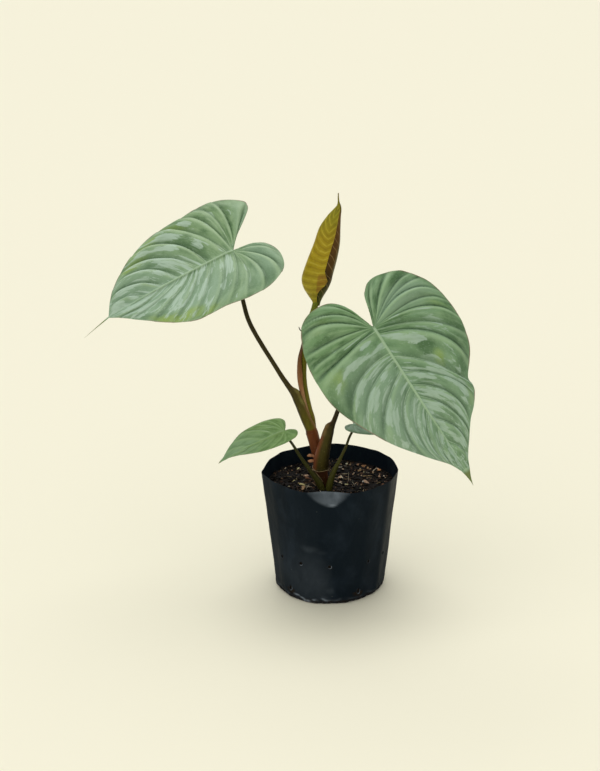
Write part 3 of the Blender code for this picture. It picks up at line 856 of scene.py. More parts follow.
@dataclass(frozen=True)
class FilmFinish:
    """Black film, slightly blue: dust, painted highlights and shade, specks and soil stains."""

    base: str = "141c23"
    dust: str = "2a333d"
    # shade_black: the near-black of the painted shade
    shade_black: str = "050809"
    # sheen: the pale grey of the painted highlights and reflections
    sheen: str = "8c97a3"
    speck: str = "8b8f88"
    stain: str = "2a2118"

    def material(self, name: str, effects: SharedEffects) -> bpy.types.Material:
        """The material, which reads the mesh's "soiled" share and its "painted_light".

        Args:
            name: its name.
            effects: the shared node groups, of which film needs none.

        Returns:
            The material.
        """
        material, graph, shader = new_material(name, IOR=1.07)
        spot, painted_light = graph.place(), graph.attribute("painted_light")
        dust_and_sheen = graph.noise(spot.stretched(1, 1, 0.55), 38, 5, 0.62, 0.4)
        colour = graph.mix(dust_and_sheen.step(0.46, 0.78) * 0.5, linear(self.base), linear(self.dust))
        # Painted shade: near-black where painted_light is below zero.
        colour = graph.mix(painted_light.step(0.0, -1.0), colour, linear(self.shade_black))
        # Painted highlights and reflections, broken up by noise, where painted_light is above zero.
        sheen_patches = graph.noise(spot.stretched(1, 1, 0.7), 85, 4, 0.6, 0.5)
        sheen_patches = sheen_patches.step(0.25, 0.7, 0.55, 1.0) * painted_light
        colour = graph.mix(sheen_patches, colour, linear(self.sheen))
        strewn = graph.noise(spot, 45, 1).step(0.5, 0.62, 0.0, 0.45)
        specks = graph.cells(spot, 130).step(0.06, 0.02) * strewn
        colour = graph.mix(specks, colour, linear(self.speck))
        dirt = graph.noise(spot, 260, 5, 0.7) * 0.7 + graph.attribute("soiled")
        dirt = dirt.step(0.72, 1.15) * 0.8
        colour = graph.mix(dirt, colour, linear(self.stain))
        creases = graph.noise(spot.stretched(1, 1, 0.35), 190, 4, 0.6, 0.6)
        height = creases + graph.noise(spot, 1400, 2, 0.5) * 0.12
        graph.feed(shader, Base_Color=colour, Normal=graph.bump(height, 0.16, 1.2),
                   Roughness=dust_and_sheen.step(0.3, 0.75, 0.34, 0.52) + dirt * 0.4)
        return material


@dataclass(frozen=True)
class GrainFinish:
    """Bits of the potting mix, each with its own tint, rough and slightly damp."""

    roughness: float = 0.75
    depth: float = 0.9
    relief: float = 0.5

    def material(self, name: str, effects: SharedEffects) -> bpy.types.Material:
        """The material, which reads the mesh's tint.

        Args:
            name: its name.
            effects: the shared node groups.

        Returns:
            The material.
        """
        material, graph, shader = new_material(name, Roughness=self.roughness,
                                               Specular_IOR_Level=0.15)
        tones, grain = effects.mottled(graph, graph.place(), graph.tint(), 500, 2600, self.depth)
        graph.feed(shader, Base_Color=tones, Normal=graph.bump(grain, self.relief, 0.4))
        return material


@dataclass(frozen=True)
class RootFinish:
    """Pale tan root skin with rings and soil in its pores."""

    skin: str = "b39a70"

    def material(self, name: str, effects: SharedEffects) -> bpy.types.Material:
        """The material of a root.

        Args:
            name: its name.
            effects: the shared node groups.

        Returns:
            The material.
        """
        material, graph, shader = new_material(name, Roughness=0.8)
        tones, grain = effects.mottled(graph, graph.place().stretched(1, 1, 2.5),
                                       linear(self.skin), 240, 1800, 1.1)
        graph.feed(shader, Base_Color=tones, Normal=graph.bump(grain, 0.5, 0.3))
        return material


# ---------------------------------------------------------------- leaf blades


@dataclass
class Blade:
    """A heart-shaped blade: drawn flat along its veins, quilted between them, and bent.

    The margins run from the notch to the tip, as (along, across) in percent of the length.
    A vein is (share of the margin at the midrib, halfway out, at the margin, depth of its
    furrow). Spots are (share of the margin, share out from the midrib, reach across the veins
    in veins, reach along them, strength), and a share out is positive on the left half. Washes
    are spots that add to the bloom, or darken the blade towards its dark green where the
    strength is below zero.
    """

    name: str
    place: Place
    heading: float
    droop: float
    roll: float
    length: float
    left: tuple
    right: tuple
    drip_tip: float
    tip_half_width: float
    tip_slope: float
    bend: float
    arch: float
    fold: float
    recurve: float
    lobe_drop: float
    veins: dict
    quilt: dict
    skew: float
    finish: LeafFinish
    silver: tuple = ()
    olive: tuple = ()
    washes: tuple = ()
    lines: int = 230
    across: int = 50
    tip_rows: int = 22
    wall: float = 0.5
    keel: float = 1.5
    keel_reach: float = 1.5
    ridge: float = 0.5
    rib_width: float = 0.9
    bloom: float = 0.7
    haze: float = 0.45
    seed: float = 0.0
    vein_lean: float = 1.35
    crease: float = 6.0
    margin_steps: int = 24

    def turned(self) -> Matrix:
        """Rotation of the blade: x along the midrib, z out of its upper face."""
        return Euler(map(math.radians, (self.roll, self.droop, self.heading))).to_matrix()

    def under(self, depth: float) -> Place:
        """The place this far below the upper face at the stalk, mm up from the mix."""
        return tuple(Vector(self.place) - self.turned() @ Vector((0, 0, depth)))

    def middle(self, along: np.ndarray) -> np.ndarray:
        """The midrib's sideways place.

        Args:
            along: places along the midrib, mm.

        Returns:
            How far it lies to the side at each of them, mm.
        """
        share = along / self.length
        beyond = self.bend + (along - self.length) * self.tip_slope
        return np.where(share <= 1, self.bend * share**2, beyond)

    def edge(self, side: Side) -> tuple[np.ndarray, np.ndarray]:
        """The smooth margin of a half.

        Args:
            side: which half.

        Returns:
            The margin's points, and how far along it each one lies, from 0 to 1.
        """
        margin = self.left if side is Side.LEFT else self.right
        outline = np.array(margin, float) / 100 * self.length
        middle = float(self.middle(np.array(self.length)))
        apex = (self.length, middle + side.value * self.tip_half_width)
        points = spline(np.vstack([[0, 0], outline, apex]), self.margin_steps)
        run = np.concatenate([[0], np.cumsum(np.linalg.norm(np.diff(points, axis=0), axis=1))])
        return points, run / run[-1]

    def shoulder(self) -> float:
        """How much of the margin belongs to the basal lobe.

        Returns:
            The share, which is the same for both halves.
        """
        shares = []
        for side in Side:
            points, run = self.edge(side)
            shares.append(run[np.argmax(points[:, 1] * side.value)])
        return sum(shares) / 2

    def flat_half(self, side: Side, out_shares: np.ndarray) -> np.ndarray:
        """Lays out a half flat.

        Args:
            side: which half.
            out_shares: the columns' shares out from the midrib.

        Returns:
            Places (along, across), in rows from notch to tip and columns out from the midrib.
        """
        points, run = self.edge(side)
        shoulder = self.shoulder()
        u = np.linspace(0, 1, self.lines + 1)
        out = rows_of(*(np.interp(u, run, points[:, k]) for k in (0, 1)))
        ahead = np.maximum(0, (u - shoulder) / (1 - shoulder)) ** self.vein_lean * self.length
        start = rows_of(ahead, self.middle(ahead))
        swept = start + (out - start) * np.array([0.35, 0.7])
        settled = np.minimum(1, u / shoulder)[:, None]
        bent = (start + out) / 2 * (1 - settled) + swept * settled
        r = out_shares[None, :, None]
        rows = (1 - r) ** 2 * start[:, None] + 2 * r * (1 - r) * bent[:, None] + r**2 * out[:, None]
        v = np.linspace(0, 1, self.tip_rows + 1)[1:]
        ahead = self.length + v * self.drip_tip
        width = self.tip_half_width * (1 - v) ** 1.6 + 0.18 * np.sqrt(1 - v)
        across = self.middle(ahead)[:, None] + side.value * width[:, None] * out_shares[None]
        tip = np.stack([np.repeat(ahead[:, None], len(out_shares), axis=1), across], axis=2)
        return np.concatenate([rows, tip])

    def vein_rows(self, side: Side) -> np.ndarray:
        """The veins of a half between its notch and its tip, which count as veins too."""
        return np.array([(0, 0, 0, 0), *self.veins[side], (1, 1, 1, 0)], float)

    def numbers(self, side: Side, u: np.ndarray, r: np.ndarray) -> np.ndarray:
        """Vein numbers, with whole ones on the veins.

        Args:
            side: which half.
            u: shares along the margin, one for each row.
            r: shares out from the midrib, one for each column.

        Returns:
            The numbers, in rows and columns.
        """
        start, half, end = self.vein_rows(side)[:, :3].T[..., None]
        lines = start * (1 - r) * (1 - 2 * r) + 4 * half * r * (1 - r) + end * r * (2 * r - 1)
        lines = np.maximum.accumulate(lines, axis=0)
        count = range(len(lines))
        return rows_of(*(np.interp(u, line, count) for line in lines.T))

    def furrows(self, side: Side, numbers: np.ndarray) -> tuple:
        """Where each place lies between its two veins, and how deep their furrows are.

        Args:
            side: which half.
            numbers: vein numbers of the places.

        Returns:
            The vein before each place, its share of the way to the next, and both furrows' depths.
        """
        depths = 0.3 + 0.8 * self.vein_rows(side)[:, 3]
        depths[[0, -1]] = 0
        cell = np.minimum(numbers.astype(int), len(depths) - 2)
        return cell, numbers - cell, depths[cell], depths[cell + 1]

    def relief(self, flat: np.ndarray, u: np.ndarray, r: np.ndarray, side: Side) -> np.ndarray:
        """How far the quilting and the midrib stand out of the smooth blade.

        Args:
            flat: the half laid out flat.
            u: shares along the margin, one for each row.
            r: shares out from the midrib, one for each column.
            side: which half.

        Returns:
            The height in rows and columns, mm.
        """
        numbers = self.numbers(side, u, r)
        cell, within, before, after = self.furrows(side, numbers)
        stretch = np.linalg.norm(np.gradient(flat, axis=0), axis=2)
        pace = np.abs(np.gradient(numbers, axis=0)) if len(u) == len(flat) else 1.0
        spacing = np.clip(stretch / np.maximum(pace, 1e-3), 0, 26)
        pillow = np.sin(np.pi * within**self.skew) ** 0.8
        uneven = [noise.noise((k * 1.3 + self.seed, side.value, 0)) for k in range(cell.max() + 1)]
        swell = (0.75 + 0.5 * (np.array(uneven) + 0.5))[cell]
        fade = ease(0.02, 0.3, r) * (1 - 0.8 * ease(0.75, 1.0, r))
        depth = before * (1 - within) + after * within
        amount = self.quilt[side] * (spacing / 14.0) * swell * depth
        height = amount * pillow * fade[None]
        points = np.concatenate([flat.reshape(-1, 2), np.zeros((flat[..., 0].size, 1))], axis=1)
        height += 0.5 * ripple(points, 16, self.seed).reshape(height.shape) * fade[None]
        height *= 1 - ease(0.96, 1.0, u)[:, None]
        away = np.abs(flat[..., 1] - self.middle(flat[..., 0]))
        on_rib = ease(-2, 4, flat[..., 0]) * (1 - 0.55 * flat[..., 0] / self.length)
        ridge = near(away, 0.75) - 0.8 * near(away, 2.2)
        return height + self.ridge * ridge * np.clip(on_rib, 0, 1)

    def tones(self, side: Side, numbers: np.ndarray, u: np.ndarray, r: np.ndarray) -> tuple:
        """Painted shade at the furrows and painted highlights at the folds' crests of a half.

        Args:
            side: which half.
            numbers: vein numbers of the places.
            u: shares along the margin, one for each row.
            r: shares out from the midrib, one for each column.

        Returns:
            How much painted shade each place has near the furrows and how much painted highlight
            near a fold's crest, from 0 to 1.
        """
        _, within, before, after = self.furrows(side, numbers)
        fade = ease(0.0, 0.12, r) * (1 - 0.6 * ease(0.8, 1.0, r)) * (1 - ease(0.95, 1, u))[:, None]
        # Painted shade: darkening before each furrow and just past it.
        ahead = after * ease(0.5, 1.0, within) ** 1.6
        behind = before * (1 - ease(0.0, 0.09, within))
        # Painted highlight just past each furrow, where the fold's crest faces the light.
        crest = before * near(within - 0.17, 0.11)
        return np.maximum(ahead, behind) * fade, crest * fade

    def height(self, flat: np.ndarray) -> np.ndarray:
        """The smooth blade's bends.

        Args:
            flat: places laid out flat.

        Returns:
            How far the smooth blade stands above them, mm.
        """
        along, across = flat[..., 0], flat[..., 1]
        return (
            self.fold * (np.hypot(across, self.crease) - self.crease)
            - self.arch * np.maximum(along, 0) ** 2 / self.length
            - self.lobe_drop * np.minimum(along, 0) ** 2 / self.length
            - self.recurve * across**2 / (0.54 * self.length)
        )

    def spots(self, marks: tuple, side: Side, numbers: np.ndarray, r: np.ndarray) -> np.ndarray:
        """Soft spots on a half.

        Args:
            marks: the spots.
            side: which half.
            numbers: vein numbers of the places.
            r: shares out from the midrib, one for each column.

        Returns:
            The spots' strength at each place.
        """
        found = np.zeros_like(numbers)
        for place, out, reach_across, reach_along, strength in marks:
            if out * side.value < 0:
                continue
            middle = self.numbers(side, np.array([place]), np.array([abs(out)]))[0, 0]
            away = ((numbers - middle) / reach_across) ** 2 + ((r - abs(out)) / reach_along) ** 2
            spot = strength * np.exp(-away)
            found = np.maximum(found, spot) if strength > 0 else found + spot
        return found

    def build(self, effects: SharedEffects) -> Thing:
        """Builds and dresses the blade.

        Args:
            effects: the shared node groups.

        Returns:
            The finished piece.
        """
        rows = self.lines + self.tip_rows
        leaf, shares = flat_sheet(self.name, 2 * self.across, rows)
        column = np.rint(shares[:, 0] * 2 * self.across).astype(int) - self.across
        row = np.rint(shares[:, 1] * rows).astype(int)
        r_line = (np.arange(self.across + 1) / self.across) ** 1.3
        u_line = np.concatenate([np.linspace(0, 1, self.lines + 1), np.ones(self.tip_rows)])
        beyond = np.maximum(0, row - self.lines) / self.tip_rows
        points = np.zeros((len(row), 3))
        names = "silver", "olive", "wash", "furrow_shade", "crest"
        shade_values = {name: np.zeros(len(row)) for name in names}
        corners = corners_of(leaf)
        face_side = np.repeat(np.sign(column[corners].reshape(-1, 4).sum(axis=1)), 4)
        spread = np.zeros((len(corners), 2))
        for side in Side:
            flat = self.flat_half(side, r_line)
            raised = self.height(flat) + self.relief(flat, u_line, r_line, side)
            whole = np.concatenate([flat, raised[..., None]], axis=2)
            numbers = self.numbers(side, u_line, r_line)
            # furrow_shade is painted shade in the furrows and crest a painted highlight on the
            # folds.
            furrow_shade, crest = self.tones(side, numbers, u_line, r_line)
            found = {"silver": self.spots(self.silver, side, numbers, r_line),
                     "olive": self.spots(self.olive, side, numbers, r_line),
                     "wash": self.spots(self.washes, side, numbers, r_line),
                     "furrow_shade": furrow_shade, "crest": crest}
            mine = column * side.value >= 0
            at = row[mine], np.abs(column[mine])
            points[mine] = whole[at]
            for name, values in found.items():
                shade_values[name][mine] = values[at]
            mine = face_side == side.value
            at = row[corners[mine]], np.abs(column[corners[mine]])
            spread[mine] = rows_of(numbers[at] / VEINS_ON_MAP, 0.5 + side.value * r_line[at[1]] / 2)
        u, r = u_line[row], r_line[np.abs(column)]
        away = np.abs(points[:, 1] - self.middle(points[:, 0]))
        ahead = np.clip(points[:, 0] / self.length, 0, 1)
        on_rib = ease(-3, 1, points[:, 0]) * (1 - beyond) * (1 - 0.65 * ease(0.4, 0.95, ahead))
        width = self.rib_width * (1 - 0.5 * ahead)
        paint(leaf, "rib", np.exp(-((away / width) ** 4)) * on_rib)
        haze = self.haze * ease(0.3, 0.75, u) * (1 - 0.25 * ease(0.8, 1.0, r))
        shade_values["silver"] = np.maximum(shade_values["silver"], haze) * (1 - beyond)
        bloom = self.bloom * ease(0.25, 0.95, u) + shade_values.pop("wash")
        for name, values in shade_values.items():
            paint(leaf, name, values)
        paint(leaf, "tip", ease(0.0, 0.25, beyond))
        paint(leaf, "bloom", bloom * (1 - beyond))
        map_surface(leaf, "blade", spread)
        turned = np.array(self.turned())
        lay(leaf, points @ turned.T + np.array(planted([self.place])[0]))
        keel = self.keel * near(away, self.keel_reach) * ease(-2, 6, points[:, 0])
        thick = self.wall + keel * (1 - ease(0.6, 1.0, ahead))
        thick *= (1 - 0.5 * ease(0.85, 1.0, r)) * (1 - 0.7 * beyond)
        most = self.wall + self.keel
        group = leaf.vertex_groups.new(name="wall")
        for index, weight in enumerate(thick / most):
            group.add([index], float(weight), "REPLACE")
        leaf.data.materials.append(self.finish.underside(f"{self.name}_under", effects))
        leaf.data.materials.append(self.finish.upper(f"{self.name}_upper", effects))
        with editing(leaf):
            bpy.ops.mesh.remove_doubles(threshold=1e-6)
        modify(leaf, "SOLIDIFY", thickness=most * MM, offset=-1, vertex_group="wall",
               thickness_vertex_group=0.0, material_offset=1, material_offset_rim=1, use_rim=True)
        leaf.vertex_groups.clear()
        shade(leaf, 80)
        return show(leaf, "leaf", self.name)


BIG_LEAF = LeafFinish()
OLD_LEAF = LeafFinish(deep="355635", dark="4a6f42", middle="729866", light="9cbc8e",
                      silver="aac3ae", rib="a9c6a0")
SMALL_GREEN = LeafFinish(deep="54783c", dark="608446", middle="799b58", light="8eae70",
                         silver="9cba8a", olive="86a050", rib="80a062", flecks=0.5, bump=0.2)
SHADED_GREEN = LeafFinish(deep="50694e", dark="5a7458", middle="6c866a", light="7e9a80",
                          silver="98b09c", olive="7f9a70", rib="8da890", flecks=0.3, bump=0.2)

LEFT_LEAF = Blade(
    name="leaf_left", place=(-89, 5, 225.5), heading=-163, droop=23, roll=-27, length=127.0,
    right=((-2, -4.5), (-6, -11), (-18, -21), (-26, -30), (-28, -35.5), (-26.5, -41), (-13, -52),
           (1.5, -55.5), (21, -53.5), (38, -52.5), (54, -48), (70, -39.5), (85, -27), (93, -17)),
    left=((-4, 0.8), (-10, 2), (-20.5, 5), (-27, 17.5), (-26, 32.5), (-20, 41.5), (-7, 48),
          (10, 48.5), (24, 46), (37, 45.5), (49, 44), (65, 33.5), (80, 18), (92, 4)),
    drip_tip=28, tip_half_width=0.5, tip_slope=0.16, bend=-5,
    arch=0.08, fold=0.10, recurve=0.08, lobe_drop=0.12,
    veins={
        Side.RIGHT: ((0.10, 0.11, 0.13, 0.3), (0.16, 0.20, 0.24, 0.4), (0.22, 0.305, 0.375, 0.8),
                     (0.33, 0.385, 0.44, 0.4), (0.43, 0.455, 0.505, 1.0), (0.475, 0.54, 0.60, 0.7),
                     (0.60, 0.635, 0.735, 1), (0.64, 0.72, 0.823, 0.8), (0.735, 0.785, 0.885, 0.8),
                     (0.79, 0.865, 0.937, 1), (0.86, 0.93, 0.972, 0.4)),
        Side.LEFT: ((0.12, 0.07, 0.11, 0.5), (0.18, 0.13, 0.20, 0.9), (0.205, 0.215, 0.30, 1.0),
                    (0.25, 0.305, 0.40, 0.7), (0.33, 0.42, 0.46, 0.3), (0.43, 0.485, 0.53, 0.3),
                    (0.515, 0.555, 0.60, 0.25), (0.585, 0.637, 0.675, 0.3),
                    (0.645, 0.70, 0.74, 0.35), (0.69, 0.775, 0.81, 0.35),
                    (0.74, 0.855, 0.90, 0.35), (0.79, 0.917, 0.956, 0.3)),
    },
    quilt={Side.LEFT: 2.2, Side.RIGHT: 2.9}, skew=0.5, finish=BIG_LEAF, seed=3.0, rib_width=0.75,
    silver=((0.50, 0.20, 0.4, 0.2, 1), (0.40, 0.35, 0.2, 0.09, 1), (0.65, 0.12, 0.3, 0.12, 0.9),
            (0.645, 0.45, 0.38, 0.24, 1), (0.72, 0.12, 0.3, 0.10, 0.9), (0.78, 0.25, 0.4, 0.2, 1),
            (0.55, 0.5, 0.22, 0.14, 1), (0.85, 0.45, 0.4, 0.3, 1), (0.74, 0.42, 0.25, 0.2, 0.9),
            (0.92, 0.3, 0.5, 0.4, 0.9), (0.88, 0.82, 0.4, 0.15, 0.9), (0.60, 0.15, 0.2, 0.1, 0.8),
            (0.9, -0.2, 0.4, 0.2, 0.8), (0.4, -0.7, 0.15, 0.1, 0.9), (0.53, -0.76, 0.2, 0.14, 0.9),
            (0.62, -0.68, 0.25, 0.2, 1), (0.57, -0.25, 0.35, 0.15, 0.8),
            (0.46, -0.5, 0.1, 0.1, 0.7),
            (0.655, -0.45, 0.22, 0.14, 0.9), (0.72, -0.45, 0.25, 0.25, 0.9),
            (0.80, -0.55, 0.22, 0.3, 0.9), (0.88, -0.5, 0.3, 0.35, 1), (0.30, -0.7, 0.2, 0.1, 0.6),
            (0.95, -0.3, 0.5, 0.4, 1)),
    olive=((0.785, -0.78, 0.5, 0.16, 1.1), (0.68, 0.82, 0.7, 0.15, 0.9),
           (0.57, -0.8, 0.4, 0.2, 0.6), (0.74, 0.92, 1.2, 0.12, 0.9),
           (0.7, -0.88, 0.7, 0.12, 0.7), (0.6, 0.9, 0.6, 0.12, 0.6)),
    washes=((0.60, 0.45, 3.0, 0.4, 0.55), (0.22, 0.6, 2.5, 0.5, 0.9), (0.12, -0.6, 1.5, 0.4, 1.0),
            (0.92, 0.3, 1.5, 0.6, 0.8), (0.92, -0.3, 1.5, 0.6, 0.5)),
)
RIGHT_LEAF = Blade(
    name="leaf_right", place=(38, -38, 165), heading=-27, droop=53, roll=42, length=152.0,
    right=((-4.5, -2.2), (-11.5, -4.6), (-20, -8.2), (-26.5, -15.6), (-27.5, -26.5), (-24, -34.8),
           (-17, -40), (-6.5, -44), (8.5, -46), (30, -44), (60, -29.5), (80.5, -13.5), (92, -3)),
    left=((-5.5, 2.3), (-18.5, 5.8), (-21.5, 8), (-24.5, 11.8), (-25.5, 18), (-24, 26), (-22, 32),
          (-19, 37), (-8, 46.5), (5, 51.5), (21.5, 53), (34, 50.5), (43, 46), (54, 36),
          (60, 35.8), (64.5, 34.5), (71, 29), (76.5, 23), (85.5, 16), (94, 10)),
    drip_tip=17, tip_half_width=4.2, tip_slope=-0.06, bend=7,
    arch=0.10, fold=0.10, recurve=0.26, lobe_drop=0.25,
    veins={
        Side.RIGHT: ((0.09, 0.07, 0.10, 0.5), (0.14, 0.12, 0.19, 0.5), (0.20, 0.172, 0.28, 0.9),
                     (0.235, 0.235, 0.31, 1), (0.28, 0.335, 0.37, 0.9), (0.38, 0.40, 0.415, 0.6),
                     (0.525, 0.475, 0.455, 1), (0.635, 0.598, 0.62, 0.7), (0.66, 0.648, 0.67, 0.4),
                     (0.70, 0.715, 0.73, 0.6), (0.752, 0.785, 0.87, 0.6), (0.80, 0.84, 0.925, 0.3),
                     (0.83, 0.885, 0.95, 0.4), (0.88, 0.93, 0.972, 0.3)),
        Side.LEFT: ((0.10, 0.07, 0.09, 0.4), (0.175, 0.135, 0.16, 0.6), (0.20, 0.188, 0.222, 1.0),
                    (0.225, 0.238, 0.30, 0.8), (0.24, 0.268, 0.34, 0.6), (0.25, 0.29, 0.42, 1.0),
                    (0.36, 0.385, 0.455, 0.6), (0.385, 0.443, 0.515, 1), (0.52, 0.545, 0.575, 0.6),
                    (0.545, 0.587, 0.66, 1.0), (0.648, 0.70, 0.735, 0.5), (0.71, 0.735, 0.785, 0.4),
                    (0.75, 0.792, 0.867, 0.7), (0.785, 0.843, 0.9, 0.7), (0.856, 0.892, 0.95, 0.6),
                    (0.92, 0.95, 0.98, 0.3)),
    },
    quilt={Side.LEFT: 2.6, Side.RIGHT: 2.5}, skew=0.52, finish=OLD_LEAF, seed=11.0, rib_width=1.2,
    silver=((0.55, -0.4, 0.16, 0.22, 1), (0.535, -0.18, 0.14, 0.12, 1),
            (0.4, -0.55, 0.2, 0.08, 0.8),
            (0.43, -0.28, 0.12, 0.16, 0.8), (0.61, -0.55, 0.4, 0.14, 0.9),
            (0.67, -0.55, 0.4, 0.2, 1),
            (0.72, -0.5, 0.3, 0.2, 1), (0.78, -0.45, 0.3, 0.25, 1), (0.735, -0.15, 0.2, 0.12, 0.8),
            (0.84, -0.2, 0.4, 0.15, 0.8), (0.90, -0.2, 0.4, 0.2, 0.9), (0.95, -0.1, 0.4, 0.3, 0.8),
            (0.84, -0.62, 0.35, 0.12, 0.6), (0.77, -0.3, 0.2, 0.15, 0.8),
            (0.53, 0.55, 0.12, 0.14, 1), (0.55, 0.66, 0.15, 0.1, 0.8), (0.47, 0.55, 0.15, 0.2, 0.9),
            (0.60, 0.25, 0.14, 0.2, 0.8), (0.57, 0.12, 0.08, 0.1, 0.7), (0.68, 0.42, 0.2, 0.2, 0.9),
            (0.72, 0.45, 0.3, 0.25, 1), (0.755, 0.65, 0.25, 0.22, 1), (0.78, 0.8, 0.2, 0.12, 0.9),
            (0.72, 0.15, 0.2, 0.12, 0.9), (0.78, 0.2, 0.22, 0.15, 0.9), (0.80, 0.42, 0.2, 0.2, 1),
            (0.88, 0.12, 0.4, 0.15, 0.8), (0.93, 0.7, 0.35, 0.15, 0.9), (0.895, 0.5, 0.2, 0.2, 0.9),
            (0.42, 0.2, 0.15, 0.1, 0.7)),
    olive=((0.675, 0.52, 0.28, 0.1, 0.75), (0.25, -0.75, 0.6, 0.2, 0.35),
           (0.45, 0.75, 0.3, 0.15, 0.35), (0.52, -0.7, 0.4, 0.15, 0.5),
           (0.78, 0.9, 0.6, 0.08, 0.5)),
    washes=((0.12, 0.65, 2.0, 0.5, 0.5), (0.27, 0.45, 2.4, 0.45, 1.3), (0.46, 0.8, 0.8, 0.2, -0.3),
            (0.5, -0.2, 1.5, 0.25, -0.4), (0.5, 0.15, 1.0, 0.15, -0.4), (0.2, -0.6, 2.0, 0.4, 0.25),
            (0.72, -0.55, 2.5, 0.4, 1.0), (0.97, 0.0, 1.0, 0.8, -0.2)),
)
SMALL_VEINS = {side: ((0.15, 0.16, 0.18, 0.4), (0.28, 0.31, 0.34, 0.5), (0.40, 0.44, 0.49, 0.5),
                      (0.52, 0.57, 0.63, 0.5), (0.64, 0.70, 0.77, 0.5), (0.76, 0.83, 0.9, 0.4))
               for side in Side}
SMALL_LEAF = Blade(
    name="leaf_small_left", place=(-42.4, -20, 60.2), heading=-165, droop=20, roll=-35,
    length=65.0,
    right=((-3, -5), (-6.5, -11), (-6.5, -17.5), (0, -24), (17, -29), (38, -30), (58, -28),
           (77, -19), (87, -12.5), (94, -7)),
    left=((-8, 1), (-15.5, 5.5), (-16, 11.5), (-11, 16.5), (-1.5, 18.5), (12.5, 19), (35, 16.5),
          (55, 10.5), (73, 3), (88, -1.5)),
    drip_tip=3, tip_half_width=0.8, tip_slope=0.3, bend=-2,
    arch=0.10, fold=0.05, recurve=0.05, lobe_drop=0.10,
    veins=SMALL_VEINS,
    quilt={Side.LEFT: 0.6, Side.RIGHT: 0.9}, skew=0.6, finish=SMALL_GREEN, seed=17.0,
    haze=0.1, lines=110, across=26, tip_rows=6, ridge=0.2,
    silver=((0.55, -0.4, 0.6, 0.3, 0.45), (0.75, 0.1, 0.6, 0.3, 0.4), (0.3, -0.5, 0.6, 0.2, 0.3)),
)
SPROUT_LEAF = Blade(
    name="leaf_small_right", place=(22.6, -9, 63), heading=-4, droop=3, roll=30, length=52.0,
    right=((-8, -1), (-15.5, -5.5), (-16, -11.5), (-11, -17), (-1.5, -20), (12.5, -22), (35, -21),
           (55, -16), (73, -9), (88, -4)),
    left=((-3, 5), (-6.5, 11), (-6.5, 17.5), (0, 24), (17, 28), (38, 28), (58, 24),
          (77, 16), (87, 10), (94, 6)),
    drip_tip=3, tip_half_width=0.8, tip_slope=0.0, bend=1,
    arch=0.10, fold=0.08, recurve=0.05, lobe_drop=0.10,
    veins=SMALL_VEINS,
    quilt={Side.LEFT: 0.8, Side.RIGHT: 0.8}, skew=0.6, finish=SHADED_GREEN, seed=23.0,
    haze=0.1, lines=100, across=24, tip_rows=6, ridge=0.2,
)


# ---------------------------------------------------------------- stalks


@dataclass
class Stalk:
    """A stem or leaf stalk along rows (x, y, height, radius), tinted along it.

    Tints are colours by share of the route: of the face, of the rim on one side, and of the
    side across from it, all darkened by one share, which is painted shade inside the plant.
    Swells are (height, angle, how far it stands out, reach up, reach round).
    """

    name: str
    route: list
    slot: str
    face: tuple
    rims: tuple
    rim_angle: float = 180.0
    far: tuple = ()
    swells: tuple = ()
    lobe: str = "8a8648"
    rings: tuple = ()
    sides: int = 28
    per_span: int = 7
    seed: float = 0.0
    # painted shade: how much darker all the tints are inside the plant's own shade
    plant_shade: float = 0.86
    finish: StalkFinish = StalkFinish()

    def build(self, effects: SharedEffects) -> Thing:
        """Builds and dresses the stalk.

        Args:
            effects: the shared node groups.

        Returns:
            The finished piece.
        """
        rows = spline(planted(self.route), self.per_span)
        stalk, angle, ring = sleeve(self.name, self.sides, len(rows) - 1)
        ahead = np.gradient(rows[:, :3], axis=0)
        ahead /= np.linalg.norm(ahead, axis=1)[:, None]
        right = np.cross(ahead, np.array([0.0, 1.0, 0.0]))
        right /= np.linalg.norm(right, axis=1)[:, None]
        front = np.cross(ahead, right)
        radius = rows[ring, 3].copy()
        height = rows[ring, 2] - MIX_LEVEL
        lobed = np.zeros_like(radius)
        for up, around, out, reach_up, reach_round in self.swells:
            turn = np.angle(np.exp(1j * (angle - math.radians(around))))
            swell = near(height - up, reach_up) * near(turn, math.radians(reach_round))
            radius += out * swell
            lobed = np.maximum(lobed, swell)
        for up, out, reach in self.rings:
            radius += out * near(height - up, reach)
        way = np.cos(angle)[:, None] * right[ring] + np.sin(angle)[:, None] * front[ring]
        wobble = ripple(rows[ring, :3] + way * 3, 6, self.seed) * 0.05
        points = rows[ring, :3] + way * (radius * (1 + wobble))[:, None]
        lay(stalk, points)
        share = ring / (len(rows) - 1)
        facing = np.cos(angle - math.radians(self.rim_angle))
        colours = across_stops(share, self.face)
        for stops, amount in ((self.rims, ease(0.35, 0.95, facing)),
                              (self.far or self.face, ease(-0.1, -0.85, facing)),
                              (((0, self.lobe),), 0.75 * ease(0.25, 0.8, lobed))):
            colours += (across_stops(share, stops) - colours) * amount[:, None]
        # Painted shade: all tints darkened by one share.
        tint(stalk, colours * self.plant_shade)
        with editing(stalk):
            bpy.ops.mesh.select_all(action="DESELECT")
            bpy.ops.mesh.select_non_manifold()
            bpy.ops.mesh.edge_face_add()
            bpy.ops.mesh.select_all(action="SELECT")
            bpy.ops.mesh.normals_make_consistent(inside=False)
        stalk.data.materials.append(self.finish.material(f"{self.name}_skin", effects))
        shade(stalk, 70)
        return show(stalk, self.slot, self.name)


STEM_RADIUS = 5.8
PETIOLE_RADIUS = 2.1
NEW_PETIOLE_RADIUS = 2.9
SMALL_PETIOLE_RADIUS = 1.3
CLEARANCE = 0.3
BLADE_THICKNESS = 0.9

